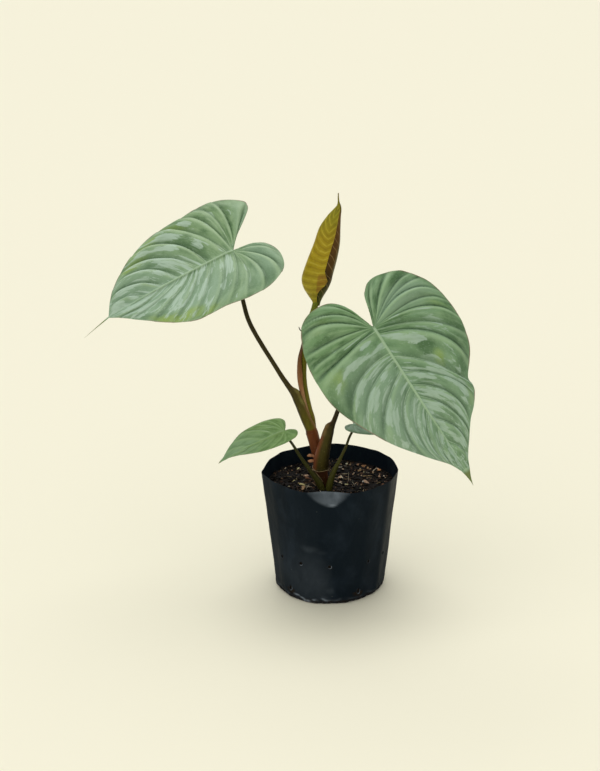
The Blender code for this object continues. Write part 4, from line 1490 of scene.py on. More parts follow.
STEM_ROUTE = [
    (-7, -9, -24, STEM_RADIUS * 0.7), (-7, -8.8, -18, STEM_RADIUS * 0.95),
    (-7.1, -8, 0, STEM_RADIUS * 1.04), (-8.2, -7, 18.5, STEM_RADIUS),
    (-12, -5, 35.5, STEM_RADIUS * 0.98), (-17, -3, 53, STEM_RADIUS * 0.97),
]


def onward(route: list, distance: float) -> Place:
    """Goes straight on past the end of a route.

    Args:
        route: rows of the route.
        distance: how far past its last row, mm.

    Returns:
        The place.
    """
    last, before = (np.array(row[:3]) for row in (route[-1], route[-2]))
    return tuple(last + (last - before) / np.linalg.norm(last - before) * distance)


def to_blade(route: list, blade: Blade, lead: float) -> list:
    """Leads a route into a blade's underside.

    Args:
        route: rows of the route.
        blade: the blade.
        lead: how far below the blade it turns square to it, mm.

    Returns:
        The longer route.
    """
    radius = route[-1][3]
    return route + [(*blade.under(BLADE_THICKNESS + lead), radius),
                    (*blade.under(BLADE_THICKNESS * 0.6), radius * 1.05)]


LEFT_ROUTE = [
    (*onward(STEM_ROUTE, 0.0), STEM_RADIUS * 0.97),
    (*onward(STEM_ROUTE, 5), STEM_RADIUS * 0.9),
    (-23.3, -2.5, 69, STEM_RADIUS * 0.86), (-27.1, -2, 78.7, STEM_RADIUS * 0.82),
    (-30.5, -1.5, 86, STEM_RADIUS * 0.76), (-33.8, -1, 91.5, STEM_RADIUS * 0.62),
    (-38.2, -0.5, 97, PETIOLE_RADIUS * 1.25), (-45.2, 0, 107.5, PETIOLE_RADIUS * 1.08),
    (-53.4, 1, 121, PETIOLE_RADIUS), (-61.8, 2, 134.7, PETIOLE_RADIUS),
    (-69.7, 3.5, 148.2, PETIOLE_RADIUS), (-76, 5.5, 161.3, PETIOLE_RADIUS),
    (-80.1, 8.5, 176, PETIOLE_RADIUS * 0.95), (-82.5, 11, 188, PETIOLE_RADIUS * 0.9),
    (-84.8, 12.5, 203, PETIOLE_RADIUS * 0.9),
]
RIGHT_ROUTE = [
    (-8.4, -11.3, 20, STEM_RADIUS * 1.26), (-8, -11.6, 26, STEM_RADIUS * 1.26),
    (-7.0, -12.3, 34.5, STEM_RADIUS * 1.17), (-4.3, -13.5, 46, STEM_RADIUS * 1.0),
    (-1.2, -15.6, 58.5, STEM_RADIUS * 0.82), (1.2, -17, 64.5, PETIOLE_RADIUS * 1.6),
    (3.6, -18.5, 70, PETIOLE_RADIUS * 1.1), (9.7, -20.5, 88.5, PETIOLE_RADIUS),
    (17.7, -21, 108.5, PETIOLE_RADIUS), (25.8, -18, 129.5, PETIOLE_RADIUS),
    (31, -17, 144, PETIOLE_RADIUS * 0.95), (33.8, -20.5, 154, PETIOLE_RADIUS * 0.9),
]
NEW_ROUTE = [
    (-14.4, -1.5, 57.5, NEW_PETIOLE_RADIUS * 0.6), (-16.4, -0.8, 66.5, NEW_PETIOLE_RADIUS * 0.85),
    (-20.0, -0.2, 77.5, NEW_PETIOLE_RADIUS), (-24.2, 0, 99.5, NEW_PETIOLE_RADIUS),
    (-24.7, 0, 118.5, NEW_PETIOLE_RADIUS), (-23.6, 0, 137.5, NEW_PETIOLE_RADIUS),
    (-19.7, 1, 156.5, NEW_PETIOLE_RADIUS), (-15.6, 2, 169.5, NEW_PETIOLE_RADIUS),
    (-13.2, 2, 178.5, NEW_PETIOLE_RADIUS * 0.95),
]
SMALL_FOOT = STEM_ROUTE[2][1] - STEM_ROUTE[2][3] - 3.6
SMALL_LEFT_ROUTE = [
    (-6.2, SMALL_FOOT, -5.5, 2.8), (-8, SMALL_FOOT, 3, 3.1), (-11.9, SMALL_FOOT - 0.2, 10.5, 2.8),
    (-19.1, -18.6, 21.4, SMALL_PETIOLE_RADIUS * 1.55),
    (-27.8, -19.5, 34.8, SMALL_PETIOLE_RADIUS * 1.2), (-34.5, -19.9, 46.5, SMALL_PETIOLE_RADIUS),
]
SMALL_RIGHT_ROUTE = [
    (-1, SMALL_FOOT, -5.5, 3.0), (-0.4, SMALL_FOOT, 5, 3.3), (3.8, SMALL_FOOT + 0.8, 18.3, 2.5),
    (9.7, -15, 30.8, SMALL_PETIOLE_RADIUS * 1.25), (14.9, -13, 42, SMALL_PETIOLE_RADIUS),
    (18.3, -10.8, 51, SMALL_PETIOLE_RADIUS * 0.9),
]

STALKS = [
    Stalk("main_stem", STEM_ROUTE, "stem", seed=1.0,
          face=((0, "1e170a"), (0.30, "35260f"), (0.5, "482a12"), (0.72, "643317"), (1, "74401f")),
          rims=((0, "1c130a"), (0.5, "512a14"), (1, "86502e")),
          rings=((2, 0.3, 1.2), (52, 0.35, 1.5))),
    Stalk("petiole_left", to_blade(LEFT_ROUTE, LEFT_LEAF, 9), "petiole", seed=2.0,
          face=((0, "74401f"), (0.045, "6e3e1c"), (0.058, "6c6618"), (0.12, "645c18"),
                (0.20, "554c18"), (0.30, "4b4318"), (0.38, "463e1a"), (0.55, "3d361a"),
                (0.8, "332e14"), (1, "545f2e")),
          rims=((0, "86502e"), (0.04, "86502e"), (0.055, "8f6c3c"), (0.2, "93704a"),
                (0.28, "8a6c44"), (0.4, "50442a"), (1, "2e2812")),
          far=((0, "5c3418"), (0.045, "5c3418"), (0.06, "5a5016"), (0.15, "443a14"),
               (0.3, "352d13"), (1, "2e2812")),
          swells=((91.5, 152, 2.0, 3.0, 34), (84, 150, 0.8, 7, 44))),
    Stalk("petiole_right", to_blade(RIGHT_ROUTE, RIGHT_LEAF, 9), "petiole", seed=4.0,
          face=((0, "3e3611"), (0.10, "473f13"), (0.25, "4a4417"), (0.36, "413a17"),
                (0.45, "2f2710"),
                (0.7, "2d250f"), (1, "3a3818")),
          rims=((0, "7e4526"), (0.2, "85492a"), (0.36, "6a4526"), (0.5, "33270f"), (1, "30260f")),
          far=((0, "2c240d"), (0.2, "2a220d"), (0.45, "241c0c"), (1, "2a220f")), rim_angle=0,
          lobe="75633a", swells=((64, 24, 2.2, 3.0, 38), (58, 28, 0.8, 5, 44)),
          rings=((20.6, 0.45, 0.7),)),
    Stalk("petiole_new", NEW_ROUTE, "sheath", seed=5.0,
          face=((0, "757020"), (0.3, "78731e"), (0.5, "716c1a"), (0.7, "6c6c1e"), (1, "757c24")),
          rims=((0, "8a6a42"), (0.3, "857a38"), (0.5, "6c671e"), (1, "6e7024"))),
    Stalk("petiole_small_left", to_blade(SMALL_LEFT_ROUTE, SMALL_LEAF, 5), "petiole", seed=6.0,
          sides=20, face=((0, "47451a"), (0.3, "47461c"), (0.6, "393a18"), (1, "343818")),
          rims=((0, "55501e"), (0.5, "3f3d1a"), (1, "353818"))),
    Stalk("petiole_small_right", to_blade(SMALL_RIGHT_ROUTE, SPROUT_LEAF, 5), "petiole", seed=7.0,
          sides=20, face=((0, "4e4c1c"), (0.35, "504f1e"), (0.65, "403f1c"), (1, "363a1c")),
          rims=((0, "48461a"), (0.5, "3f3c18"), (1, "353818"))),
]


@dataclass
class Cataphyll:
    """The papery scale leaf that clasps the new stalk on its left side."""

    columns: int = 20
    first: int = 3
    last: int = 54
    tight: float = 0.39
    slack: float = 0.5
    bulge: float = 1.5
    bow: float = 1.8
    hook: float = 6.4
    wrap: float = 150.0
    wall: float = 0.55
    tints: tuple = ((0, "8f6c46"), (0.35, "a07c5a"), (0.5, "8f6240"), (0.66, "744c2a"),
                    (0.8, "54371e"), (0.9, "35241a"), (1, "1a1410"))
    finish: StalkFinish = StalkFinish(roughness=0.55, streaks=0.8)

    def build(self, effects: SharedEffects) -> Thing:
        """Builds and dresses the scale leaf.

        Args:
            effects: the shared node groups.

        Returns:
            The finished piece.
        """
        rows = spline(planted(NEW_ROUTE), 9)[self.first : self.last]
        scale, places = flat_sheet("cataphyll", self.columns, len(rows) - 1)
        ring = np.rint(places[:, 1] * (len(rows) - 1)).astype(int)
        share = places[:, 1]
        loose = np.clip((share - self.tight) / 0.24, 0, 1)
        bulge = self.bulge * near(share - 0.55, 0.2) * ease(0.1, 0.3, share)
        radius = rows[ring, 3] + CLEARANCE + 0.4 + self.slack * loose + bulge
        opened = np.minimum(1, np.minimum(0.24 + 1.8 * (1 - share), 0.4 + 6 * share))
        spread = math.radians(self.wrap) * opened
        angle = math.pi + 0.12 + (places[:, 0] - 0.5) * spread
        x = rows[ring, 0] + self.bow * ease(0.7, 0.86, share) - self.hook * ease(0.93, 1.0, share)
        crinkle = 0.25 * np.sin(angle * 9 + share * 14)
        lay(scale, rows_of(x + (radius + crinkle * loose) * np.cos(angle),
                           rows[ring, 1] + radius * np.sin(angle), rows[ring, 2]))
        tint(scale, across_stops(share, self.tints))
        modify(scale, "SOLIDIFY", thickness=self.wall * MM, offset=1)
        merge_doubles(scale)
        scale.data.materials.append(self.finish.material("cataphyll_skin", effects))
        shade(scale, 70)
        return show(scale, "sheath", "cataphyll")


@dataclass
class LeafScars:
    """A papery ring and a dry fibre that old scale leaves left, and two root nubs on the stem."""

    ring_middle: tuple = (-8.4, -11.3, 21.2)
    ring_radius: float = 8.05
    ring_arc: tuple = (188, 350)
    ring_dip: float = 1.6
    ring_waver: float = 0.3
    ring_wall: float = 0.21
    fibre: tuple = ((-14.6, -15.2, 19.6, 0.2), (-12.2, -16.9, 16.4, 0.28),
                    (-9.2, -17.6, 12.8, 0.26),
                    (-6.6, -17.8, 9.0, 0.2))
    nubs: tuple = (
        ((-12.5, -9, 30.6, 1.6), (-16.5, -9.4, 31.8, 1.2), (-19.0, -9.8, 32.2, 1.6),
         (-21.2, -10, 31.8, 0.6)),
        ((-12.5, -10, 26.4, 1.9), (-15.6, -10.4, 27.2, 1.4), (-18.4, -10.8, 26.8, 1.7),
         (-20.6, -11, 27.4, 0.5)),
    )
    nubs_above: float = 22.4
    nubs_left_of: float = -10.0
    tints: tuple = ("b09b76", "8a724e")
    nub_tint: str = "c48d68"

    def ring(self) -> list[Row]:
        """The scar's ring, as rows (x, y, height, radius).

        Returns:
            The rows.
        """
        x, y, up = self.ring_middle
        return [(x + self.ring_radius * math.cos(a), y + self.ring_radius * math.sin(a),
                 up + self.ring_dip * math.sin(a) + self.ring_waver * math.sin(4 * a),
                 self.ring_wall) for a in np.radians(np.linspace(*self.ring_arc, 26))]

    def strand(self, arc: Sequence[Row]) -> Thing:
        """Makes one round strand.

        Args:
            arc: rows (x, y, height, radius) that it goes through.

        Returns:
            The strand, as a mesh object.
        """
        deselect()
        bpy.ops.curve.primitive_bezier_curve_add()
        curve = bpy.context.active_object
        curve.data.splines.clear()
        line = curve.data.splines.new("POLY")
        rows = spline(planted(arc), 3)
        line.points.add(len(rows) - 1)
        for point, (x, y, z, radius) in zip(line.points, rows):
            point.co = (x * MM, y * MM, z * MM, 1)
            point.radius = radius
        curve.data.dimensions = "3D"
        curve.data.bevel_depth = MM
        curve.data.bevel_resolution = 2
        curve.data.use_fill_caps = True
        bpy.ops.object.convert(target="MESH")
        return bpy.context.active_object

    def build(self, effects: SharedEffects) -> Thing:
        """Builds and dresses the ring, the fibre and the nubs as one piece.

        Args:
            effects: the shared node groups.

        Returns:
            The finished piece.
        """
        arcs = (self.ring(), self.fibre, *self.nubs)
        scars = join([self.strand(arc) for arc in arcs], "leaf_scars")
        clear_maps(scars)
        merge_doubles(scars)
        found = points_of(scars) / MM
        mixed = (ripple(found, 3, 2.0) * 0.5 + 0.5)[:, None]
        dry = pigment(self.tints[0]) * mixed + pigment(self.tints[1]) * (1 - mixed)
        fresh = pigment(self.nub_tint) * (0.6 + 0.6 * mixed)
        nub = (found[:, 2] > MIX_LEVEL + self.nubs_above) & (found[:, 0] < self.nubs_left_of)
        tint(scars, np.where(nub[:, None], fresh, dry))
        scars.data.materials.clear()
        scars.data.materials.append(GrainFinish(relief=0.3).material("dry_scale", effects))
        shade(scars, 60)
        return show(scars, "sheath")


# ---------------------------------------------------------------- rolled leaf


@dataclass
class RolledLeaf:
    """The new leaf, still rolled round itself, with the edge of its outer turn in front."""

    sections: tuple = (
        (0.2, 0, -3.5, 3.0), (0.4, 0, 0.5, 3.9), (0.1, 0, 5.7, 7.0), (0.2, -0.4, 12.8, 11.5),
        (0.7, -1, 20, 14.2), (1.9, -1.6, 27, 14.5), (6, -2.8, 41.3, 13.8), (9.8, -3.8, 55.5, 12.2),
        (12.3, -4, 69.7, 9.9), (15.7, -4, 80, 6.5), (18.6, -3.4, 86, 3.8), (20.0, -2.6, 89.5, 1.8),
        (19.8, -2, 93, 0.55), (19.5, -2, 97, 0.28), (19.5, -2, 101, 0.1),
    )
    depth: float = 0.62
    turns: float = 1.5
    tighten: float = 0.11
    columns: int = 150
    per_span: int = 10
    wall: float = 0.35
    flap: tuple = ((0, 0.04), (9, 0.10), (12, 0.22), (17, 0.52), (21.5, 0.62), (26, 0.48),
                   (31, 0.30), (46, 0.29), (55, 0.34), (63, 0.47), (75, 0.58), (90, 0.6),
                   (101, 0.6))
    outer: tuple = ((0, "948a26"), (0.12, "a39228"), (0.35, "a5901e"), (0.6, "9a861c"),
                    (0.78, "8c8620"), (0.9, "7d7c22"), (1, "6a6028"))
    inner: tuple = ((0, "4e4e1a"), (0.12, "403e14"), (0.2, "3a3010"), (0.3, "493310"),
                    (0.6, "583c15"), (0.8, "62471c"), (0.88, "504a1e"), (1, "55502c"))
    patch: str = "96702c"
    lip: str = "b08c3c"
    band: str = "66643c"
    # painted shadow: the near-black line along the flap's edge
    flap_shadow: str = "16140a"
    finish: NewLeafFinish = NewLeafFinish()

    def colours(self, turn: np.ndarray, z: np.ndarray, ridge: np.ndarray) -> np.ndarray:
        """Tints of the outer and inner turns, of what marks them, and of a painted shadow by the
        flap.

        Args:
            turn: how many times round each place lies.
            z: heights above the stalk, mm.
            ridge: the turn that the ridge lies on.

        Returns:
            A linear colour for each place.
        """
        share = z / self.sections[-1][2]
        found = across_stops(share, self.outer)
        patch = 0.85 * ease(30, 26, z) * ease(8, 12, z) * ease(0.004, -0.006, turn - ridge)
        band = 0.75 * ease(0.91, 0.83, turn) * ease(0.5, 0.6, turn) * ease(75, 55, z)
        # Painted shadow: a near-black line just inside the flap's edge, low down.
        flap_shadow = 0.6 * ease(40, 20, z) * ease(0.965, 0.985, turn)
        for colour, amount in ((across_stops(share, self.inner), ease(0.40, 0.52, turn)),
                               (pigment(self.patch), patch),
                               (pigment(self.lip),
                                0.5 * ease(0.012, 0.004, turn) * ease(50, 60, z)),
                               (pigment(self.band), band), (pigment(self.flap_shadow), flap_shadow)):
            found += (colour - found) * amount[:, None]
        return found

    def build(self, effects: SharedEffects) -> Thing:
        """Builds and dresses the rolled leaf.

        Args:
            effects: the shared node groups.

        Returns:
            The finished piece.
        """
        top = np.array(planted(NEW_ROUTE)[-1][:3])
        rows = spline(self.sections, self.per_span)
        leaf, places = flat_sheet("leaf_rolled", self.columns, len(rows) - 1)
        ring = np.rint(places[:, 1] * (len(rows) - 1)).astype(int)
        turn = places[:, 0] * self.turns
        x, y, z, half = rows[ring].T
        edge = np.interp(z, [p for p, _ in self.flap], [s for _, s in self.flap])
        angle = -np.arccos(edge) - 2 * math.pi * turn
        ridge = (math.pi / 2 - np.arccos(edge)) / (2 * math.pi) + 0.004
        share = 1 - self.tighten * turn + 0.035 * near(turn, 0.03)
        keel = 0.045 * near(turn - ridge, 0.012) * (1 - ease(24, 50, z))
        share = share + keel * ease(2, 14, z) * (1 - ease(80, 90, z))
        lay(leaf, rows_of(x + half * share * np.cos(angle),
                          y + half * self.depth * share * np.sin(angle), z) + top)
        map_surface(leaf, "roll", rows_of((turn - ridge) / 2 + 0.2, z / self.sections[-1][2]))
        tint(leaf, self.colours(turn, z, ridge))
        modify(leaf, "SOLIDIFY", thickness=self.wall * MM, offset=-1)
        merge_doubles(leaf)
        leaf.data.materials.append(self.finish.material("leaf_rolled_skin", effects))
        shade(leaf, 75)
        return show(leaf, "new_leaf", "leaf_rolled")


# ---------------------------------------------------------------- grow bag


@dataclass
class GrowBag:
    """The film bag: flats between soft folds, a leaning front rim and punched drain holes.

    Folds are (plan angle in degrees, share of the radius at the mouth, at the base). Dents are
    (angle, height, reach round in degrees, reach up, depth), and the painted highlights and
    reflections of dust_and_sheen the same with a strength, which is below zero where they paint
    shade instead. The bow is the part of the front rim that leans in.
    """

    mouth_radius: float = 64.5
    base_radius: float = 51.5
    corner: float = 3.0
    wall: float = 0.25
    sides: int = 288
    wall_rings: int = 84
    floor_rings: int = 12
    corner_rings: int = 6
    hole_radius: float = 1.75
    upper_row: float = 20.0
    low_tear: float = 1.5
    span: float = 58.0
    stain_arm: float = 56.0
    bow_middle: float = -91.5
    bow_half: float = 20.5
    bow_low: float = 103.0
    bow_rise: float = 15.5
    bow_reach: float = 15.0
    bow_in: float = 3.4
    folds: tuple = (
        (-169, 1.03, 1.0), (-146, 0.975, 0.985), (-132, 0.985, 0.99), (-111, 1.02, 1.02),
        (-92, 0.96, 0.99), (-72, 1.03, 0.995), (-55, 1.02, 0.98), (-30, 1.01, 1.0),
        (-4, 1.02, 1.04), (14, 1.005, 1.07), (27, 1.025, 1.05), (44, 1.035, 1.02),
        (68, 1.03, 1), (84, 1.045, 1), (106, 0.985, 1), (136, 0.985, 1.01), (159, 0.955, 1.03),
    )
    dents: tuple = (
        (-97, 56, 14, 5, -0.7), (-90, 50, 10, 5, 0.5), (-84, 30, 9, 4, -0.6), (-88, 22, 12, 5, 0.6),
        (-120, 60, 10, 22, -0.8), (-105, 35, 8, 10, 0.5), (-60, 45, 10, 20, -0.6),
        (-70, 80, 8, 18, 0.5), (-140, 40, 9, 18, 0.7), (-35, 70, 10, 25, -0.6),
        (-128, 92, 7, 14, 0.5), (60, 50, 14, 20, -0.8), (120, 60, 14, 24, 0.8),
        (170, 45, 12, 20, -0.8),
    )
    drains: tuple = (
        (-143.5, 41.5), (-119.5, 41.2), (-90.4, 40.8), (-48.5, 40.2), (-23.5, 40.4), (27, 42),
        (50, 42), (91, 42), (119, 42), (141, 42), (-135, 11), (-58.5, 11), (60, 12), (133, 12),
    )
    # Painted highlights and reflections on the front of the film, and painted shade on its front
    # right where the strength is below zero.
    dust_and_sheen: tuple = ((-110, 58, 9, 4, 0.10), (-98, 55, 8, 3, 0.07), (-97, 27, 8, 4, 0.10),
                     (-90, 15, 6, 5, 0.15), (-96, 7, 7, 3, 0.14), (-104, 24, 34, 30, 0.10),
                     (-100, 84, 20, 30, 0.02), (-44, 58, 28, 75, -0.8))
    finish: FilmFinish = FilmFinish()

    def radius(self, height: np.ndarray) -> np.ndarray:
        """Radius of the bag without its folds."""
        return self.base_radius + (self.mouth_radius - self.base_radius) * height / RIM_HEIGHT

    def share(self, angle: np.ndarray, height: np.ndarray) -> np.ndarray:
        """Share of the radius, on the chords between softened folds.

        Args:
            angle: plan angles, in radians.
            height: heights above the floor, mm.

        Returns:
            The share for each place.
        """
        folded = height / RIM_HEIGHT
        marks = np.radians([a for a, _, _ in self.folds])
        mouth = np.array([m for _, m, _ in self.folds])
        base = np.array([b for _, _, b in self.folds])
        found = np.zeros_like(angle)
        weights = 0.0
        for turn, weight in ((-4.5, 1), (-2.2, 2), (0, 3), (2.2, 2), (4.5, 1)):
            here = angle + math.radians(turn)
            here = np.mod(here - marks[0], 2 * math.pi) + marks[0]
            after = np.searchsorted(marks, here, side="right") % len(marks)
            before = after - 1
            start, end = marks[before], marks[after] + np.where(after == 0, 2 * math.pi, 0)
            start = np.where(before < 0, marks[-1], start)
            low = base[before] + (mouth[before] - base[before]) * folded
            high = base[after] + (mouth[after] - base[after]) * folded
            ax, ay = low * np.cos(start), low * np.sin(start)
            bx, by = high * np.cos(end), high * np.sin(end)
            dx, dy = np.cos(here), np.sin(here)
            found += weight * (ax * by - ay * bx) / (dx * (by - ay) - dy * (bx - ax))
            weights += weight
        return found / weights

    def bow(self, angle: np.ndarray) -> np.ndarray:
        """How far along the bow plan angles lie, from -1 to 1 on it."""
        return (np.degrees(angle) - self.bow_middle) / self.bow_half

    def lean(self, angle: np.ndarray, height: np.ndarray) -> np.ndarray:
        """How far the front rim leans in.

        Args:
            angle: plan angles, in radians.
            height: heights above the floor, mm.

        Returns:
            The lean, from 0 below the bow to 1.
        """
        bow = self.bow(angle)
        start = self.bow_low + self.bow_rise * bow**2
        return np.clip((height - start) / self.bow_reach, 0, 1) * (np.abs(bow) < 1)

    def marked(self, angle: np.ndarray, height: np.ndarray, mark: Row) -> np.ndarray:
        """How near places are to the middle of a dent or a smear.

        Args:
            angle: plan angles, in radians.
            height: heights above the floor, mm.
            mark: (angle, height, reach round in degrees, reach up).

        Returns:
            1 at its middle, and little past its reach.
        """
        around, up, reach_round, reach_up = mark
        turn = np.mod(np.degrees(angle) - around + 180, 360) - 180
        return near(turn, reach_round) * near(height - up, reach_up)

    def crinkle(self, angle: np.ndarray, up: np.ndarray, size: float, seed: float) -> np.ndarray:
        """Smooth noise over the wall, with features of a size in mm."""
        around = self.span * np.cos(angle), self.span * np.sin(angle)
        return ripple(rows_of(*around, up), size, seed)

    def painted_light(self, angle: np.ndarray, height: np.ndarray) -> np.ndarray:
        """Painted light on the film's leaning part, its top edge, its marks and its crumpled foot.

        Args:
            angle: plan angles, in radians.
            height: heights above the floor, mm.

        Returns:
            How strong the painted highlight is, from 0 to 1, or below zero where it paints shade.
        """
        bow, lean = self.bow(angle), self.lean(angle, height)
        middle = near(bow - 0.18, 0.6)
        soft = ease(-1.0, -0.5, bow) * ease(1.0, 0.45, bow)
        # Painted reflection of the lamps where the front rim leans in, with a bright crescent low
        # on it and a streak on its right.
        found = ease(0.0, 0.25, lean) * (0.22 + 0.20 * middle) * (0.3 + 0.7 * soft)
        crescent = near(lean - 0.14, 0.10) * near(bow - 0.14, 0.24)
        found = np.maximum(found, 0.8 * crescent * (lean > 0))
        found += 0.22 * near(bow - 0.5 + 0.2 * lean, 0.13) * ease(0.2, 0.6, lean)
        # Painted highlight along the rim's top edge.
        found += 0.12 * ease(RIM_HEIGHT - 2.2, RIM_HEIGHT - 0.6, height) * (np.abs(bow) < 0.85)
        # Painted highlights, reflections and shade of the marks.
        for *mark, strength in self.dust_and_sheen:
            sheen_mark = strength * self.marked(angle, height, mark)
            found = np.maximum(found, sheen_mark) if strength > 0 else found + sheen_mark
        # Painted highlight along the crumpled foot, strongest at the front.
        level = 4.6 + 1.1 * np.sin(np.degrees(angle) / 4.3)
        foot = ease(-0.35, 0.25, self.crinkle(angle, height * 4, 7, 8.0))
        foot = foot * near(height - level, 0.9)
        front = 0.18 + 2.0 * near(np.degrees(angle) + 110, 16)
        return np.maximum(found, foot * front)

    def film(self, angle: np.ndarray, height: np.ndarray) -> np.ndarray:
        """Radius of the film's outer face, with its lean, dents and crumples.

        Args:
            angle: plan angles, in radians.
            height: heights above the floor, mm.

        Returns:
            The radius for each place, mm.
        """
        found = self.radius(height) * self.share(angle, height)
        found -= self.bow_in * self.lean(angle, height) ** 1.2
        for *mark, depth in self.dents:
            found += depth * self.marked(angle, height, mark)
        found += 0.45 * self.crinkle(angle, height * 0.6, 17, 5.0)
        found += 0.16 * self.crinkle(angle, height * 0.6, 5.5, 9.0)
        low = np.clip(1 - height / 16, 0, 1)
        return found + low**1.5 * 1.5 * self.crinkle(angle, height * 1.4, 5, 2.0)

    def holes(self) -> Iterator[tuple[float, float]]:
        """Plan angle in radians and height of each drain hole."""
        for angle, height in self.drains:
            yield math.radians(angle), height

    def tear(self, height: float) -> float:
        """How much taller than wide a drain hole is torn, at its height."""
        return 1.0 if height > self.upper_row else self.low_tear

    def reach(self, angle: float, height: float) -> float:
        """How far out the film's outer face is at one place, mm."""
        return float(self.film(np.array([angle]), np.array([height]))[0])

    def at(self, angle: float, height: float) -> Vector:
        """A place on the film's outer face, mm."""
        reach = self.reach(angle, height)
        return Vector((reach * math.cos(angle), reach * math.sin(angle), height))

    def shell(self) -> Thing:
        """The film itself, from the middle of the floor out and up to the rim.

        Returns:
            The film, not yet drilled or dressed.
        """
        low_rings = self.floor_rings + self.corner_rings
        bag, angle, ring = sleeve("grow_bag_film", self.sides, low_rings + self.wall_rings)
        floor = np.clip(ring / self.floor_rings, 0, 1)
        turn = np.clip((ring - self.floor_rings) / self.corner_rings, 0, 1) * math.pi / 2
        wall = np.clip((ring - low_rings) / self.wall_rings, 0, 1)
        height = self.corner + wall * (RIM_HEIGHT - self.corner)
        reach = self.film(angle, height)
        inset = self.corner * (1 - np.sin(turn))
        out = np.where(floor < 1, (reach - self.corner) * floor, reach - inset)
        up = np.where(ring <= low_rings, self.corner * (1 - np.cos(turn)), height)
        waver = ripple(rows_of(np.cos(angle) * 6, np.sin(angle) * 6, angle * 0), 1.3, 4.0)
        up = up + 0.5 * waver * wall**8
        up += np.where(ring < self.floor_rings, 0.25 * np.abs(np.sin(floor * 7)) * (1 - floor), 0)
        lay(bag, rows_of(out * np.cos(angle), out * np.sin(angle), up))
        soiled = 0.85 * np.clip(1 - height / 14, 0, 1) ** 1.5
        for around, level in self.holes():
            turn = np.mod(angle - around + math.pi, 2 * math.pi) - math.pi
            away = np.hypot(turn * self.stain_arm, height - level)
            share, spread = (0.6, 6) if level > self.upper_row else (1.0, 8)
            below = np.where(height < level, 1.0, 0.4) * share
            soiled = np.maximum(soiled, below * near(away, spread))
        paint(bag, "soiled", soiled)
        # Painted highlights, reflections and shade on the wall, none on the floor.
        paint(bag, "painted_light", self.painted_light(angle, height) * (ring > self.floor_rings))
        merge_doubles(bag)
        modify(bag, "SOLIDIFY", thickness=self.wall * MM, offset=-1)
        return bag

    def drill(self, bag: Thing) -> None:
        """Cuts the drain holes through the film.

        Args:
            bag: the film.
        """
        cutters = []
        for angle, height in self.holes():
            deselect()
            bpy.ops.mesh.primitive_cylinder_add(
                vertices=20, radius=self.hole_radius * MM, depth=8 * MM,
                location=self.at(angle, height) * MM, rotation=(0, math.radians(90), angle),
                scale=(self.tear(height), 1, 1))
            cutters.append(bpy.context.active_object)
        cutter = join(cutters, "drain_cutter")
        modify(bag, "BOOLEAN", operation="DIFFERENCE", solver="EXACT", object=cutter)
        bpy.data.objects.remove(cutter)

    def lips(self) -> Thing:
        """The raised, slightly torn rims of the punched holes.

        Returns:
            The rims as one piece, not yet dressed.
        """
        made = []
        for number, (angle, height) in enumerate(self.holes()):
            deselect()
            bpy.ops.mesh.primitive_torus_add(
                major_segments=36, minor_segments=8, major_radius=1, minor_radius=0.16)
            lip = bpy.context.active_object
            clear_maps(lip)
            found = points_of(lip)
            around = np.arctan2(found[:, 1], found[:, 0])
            torn = self.tear(height)
            wobble = 1 + 0.10 * torn**3 * np.array(
                [noise.noise((math.cos(a) * 1.7, math.sin(a) * 1.7, number * 3.1)) for a in around])
            found[:, :2] *= (wobble * self.hole_radius * 1.06)[:, None]
            found[:, 0] *= torn
            found[:, 2] *= self.hole_radius * (1.0 + 0.6 * np.sin(around + 2.2))
            outward = Matrix.Rotation(angle, 3, "Z") @ Matrix.Rotation(math.radians(90), 3, "Y")
            place = np.array(self.at(angle, height))
            lay(lip, found @ np.array(outward).T + place)
            # Painted highlight: a pale arc on one side of each rim, strong on the front holes and
            # the torn low ones.
            silver_and_glint = 0.6 if abs(math.degrees(angle) + 105) < 22 else 0.5 if torn > 1 else 0.05
            lit = 0.08 + silver_and_glint * ease(-0.3, 0.8, np.cos(around - 0.9))
            paint(lip, "painted_light", lit)
            made.append(lip)
        lips = join(made, "drain_hole_rims")
        paint(lips, "soiled", np.where(points_of(lips)[:, 2] < 0.02, 0.5, 0.1))
        return lips

    def build(self, effects: SharedEffects) -> None:
        """Builds and dresses the bag and its hole rims.

        Args:
            effects: the shared node groups.
        """
        bag = self.shell()
        self.drill(bag)
        film = self.finish.material("black_film", effects)
        bag.data.materials.clear()
        bag.data.materials.append(film)
        shade(bag, 60)
        show(bag, "film", "grow_bag")
        lips = self.lips()
        lips.data.materials.append(film)
        shade(lips, 60)
        show(lips, "film")


# ---------------------------------------------------------------- potting mix


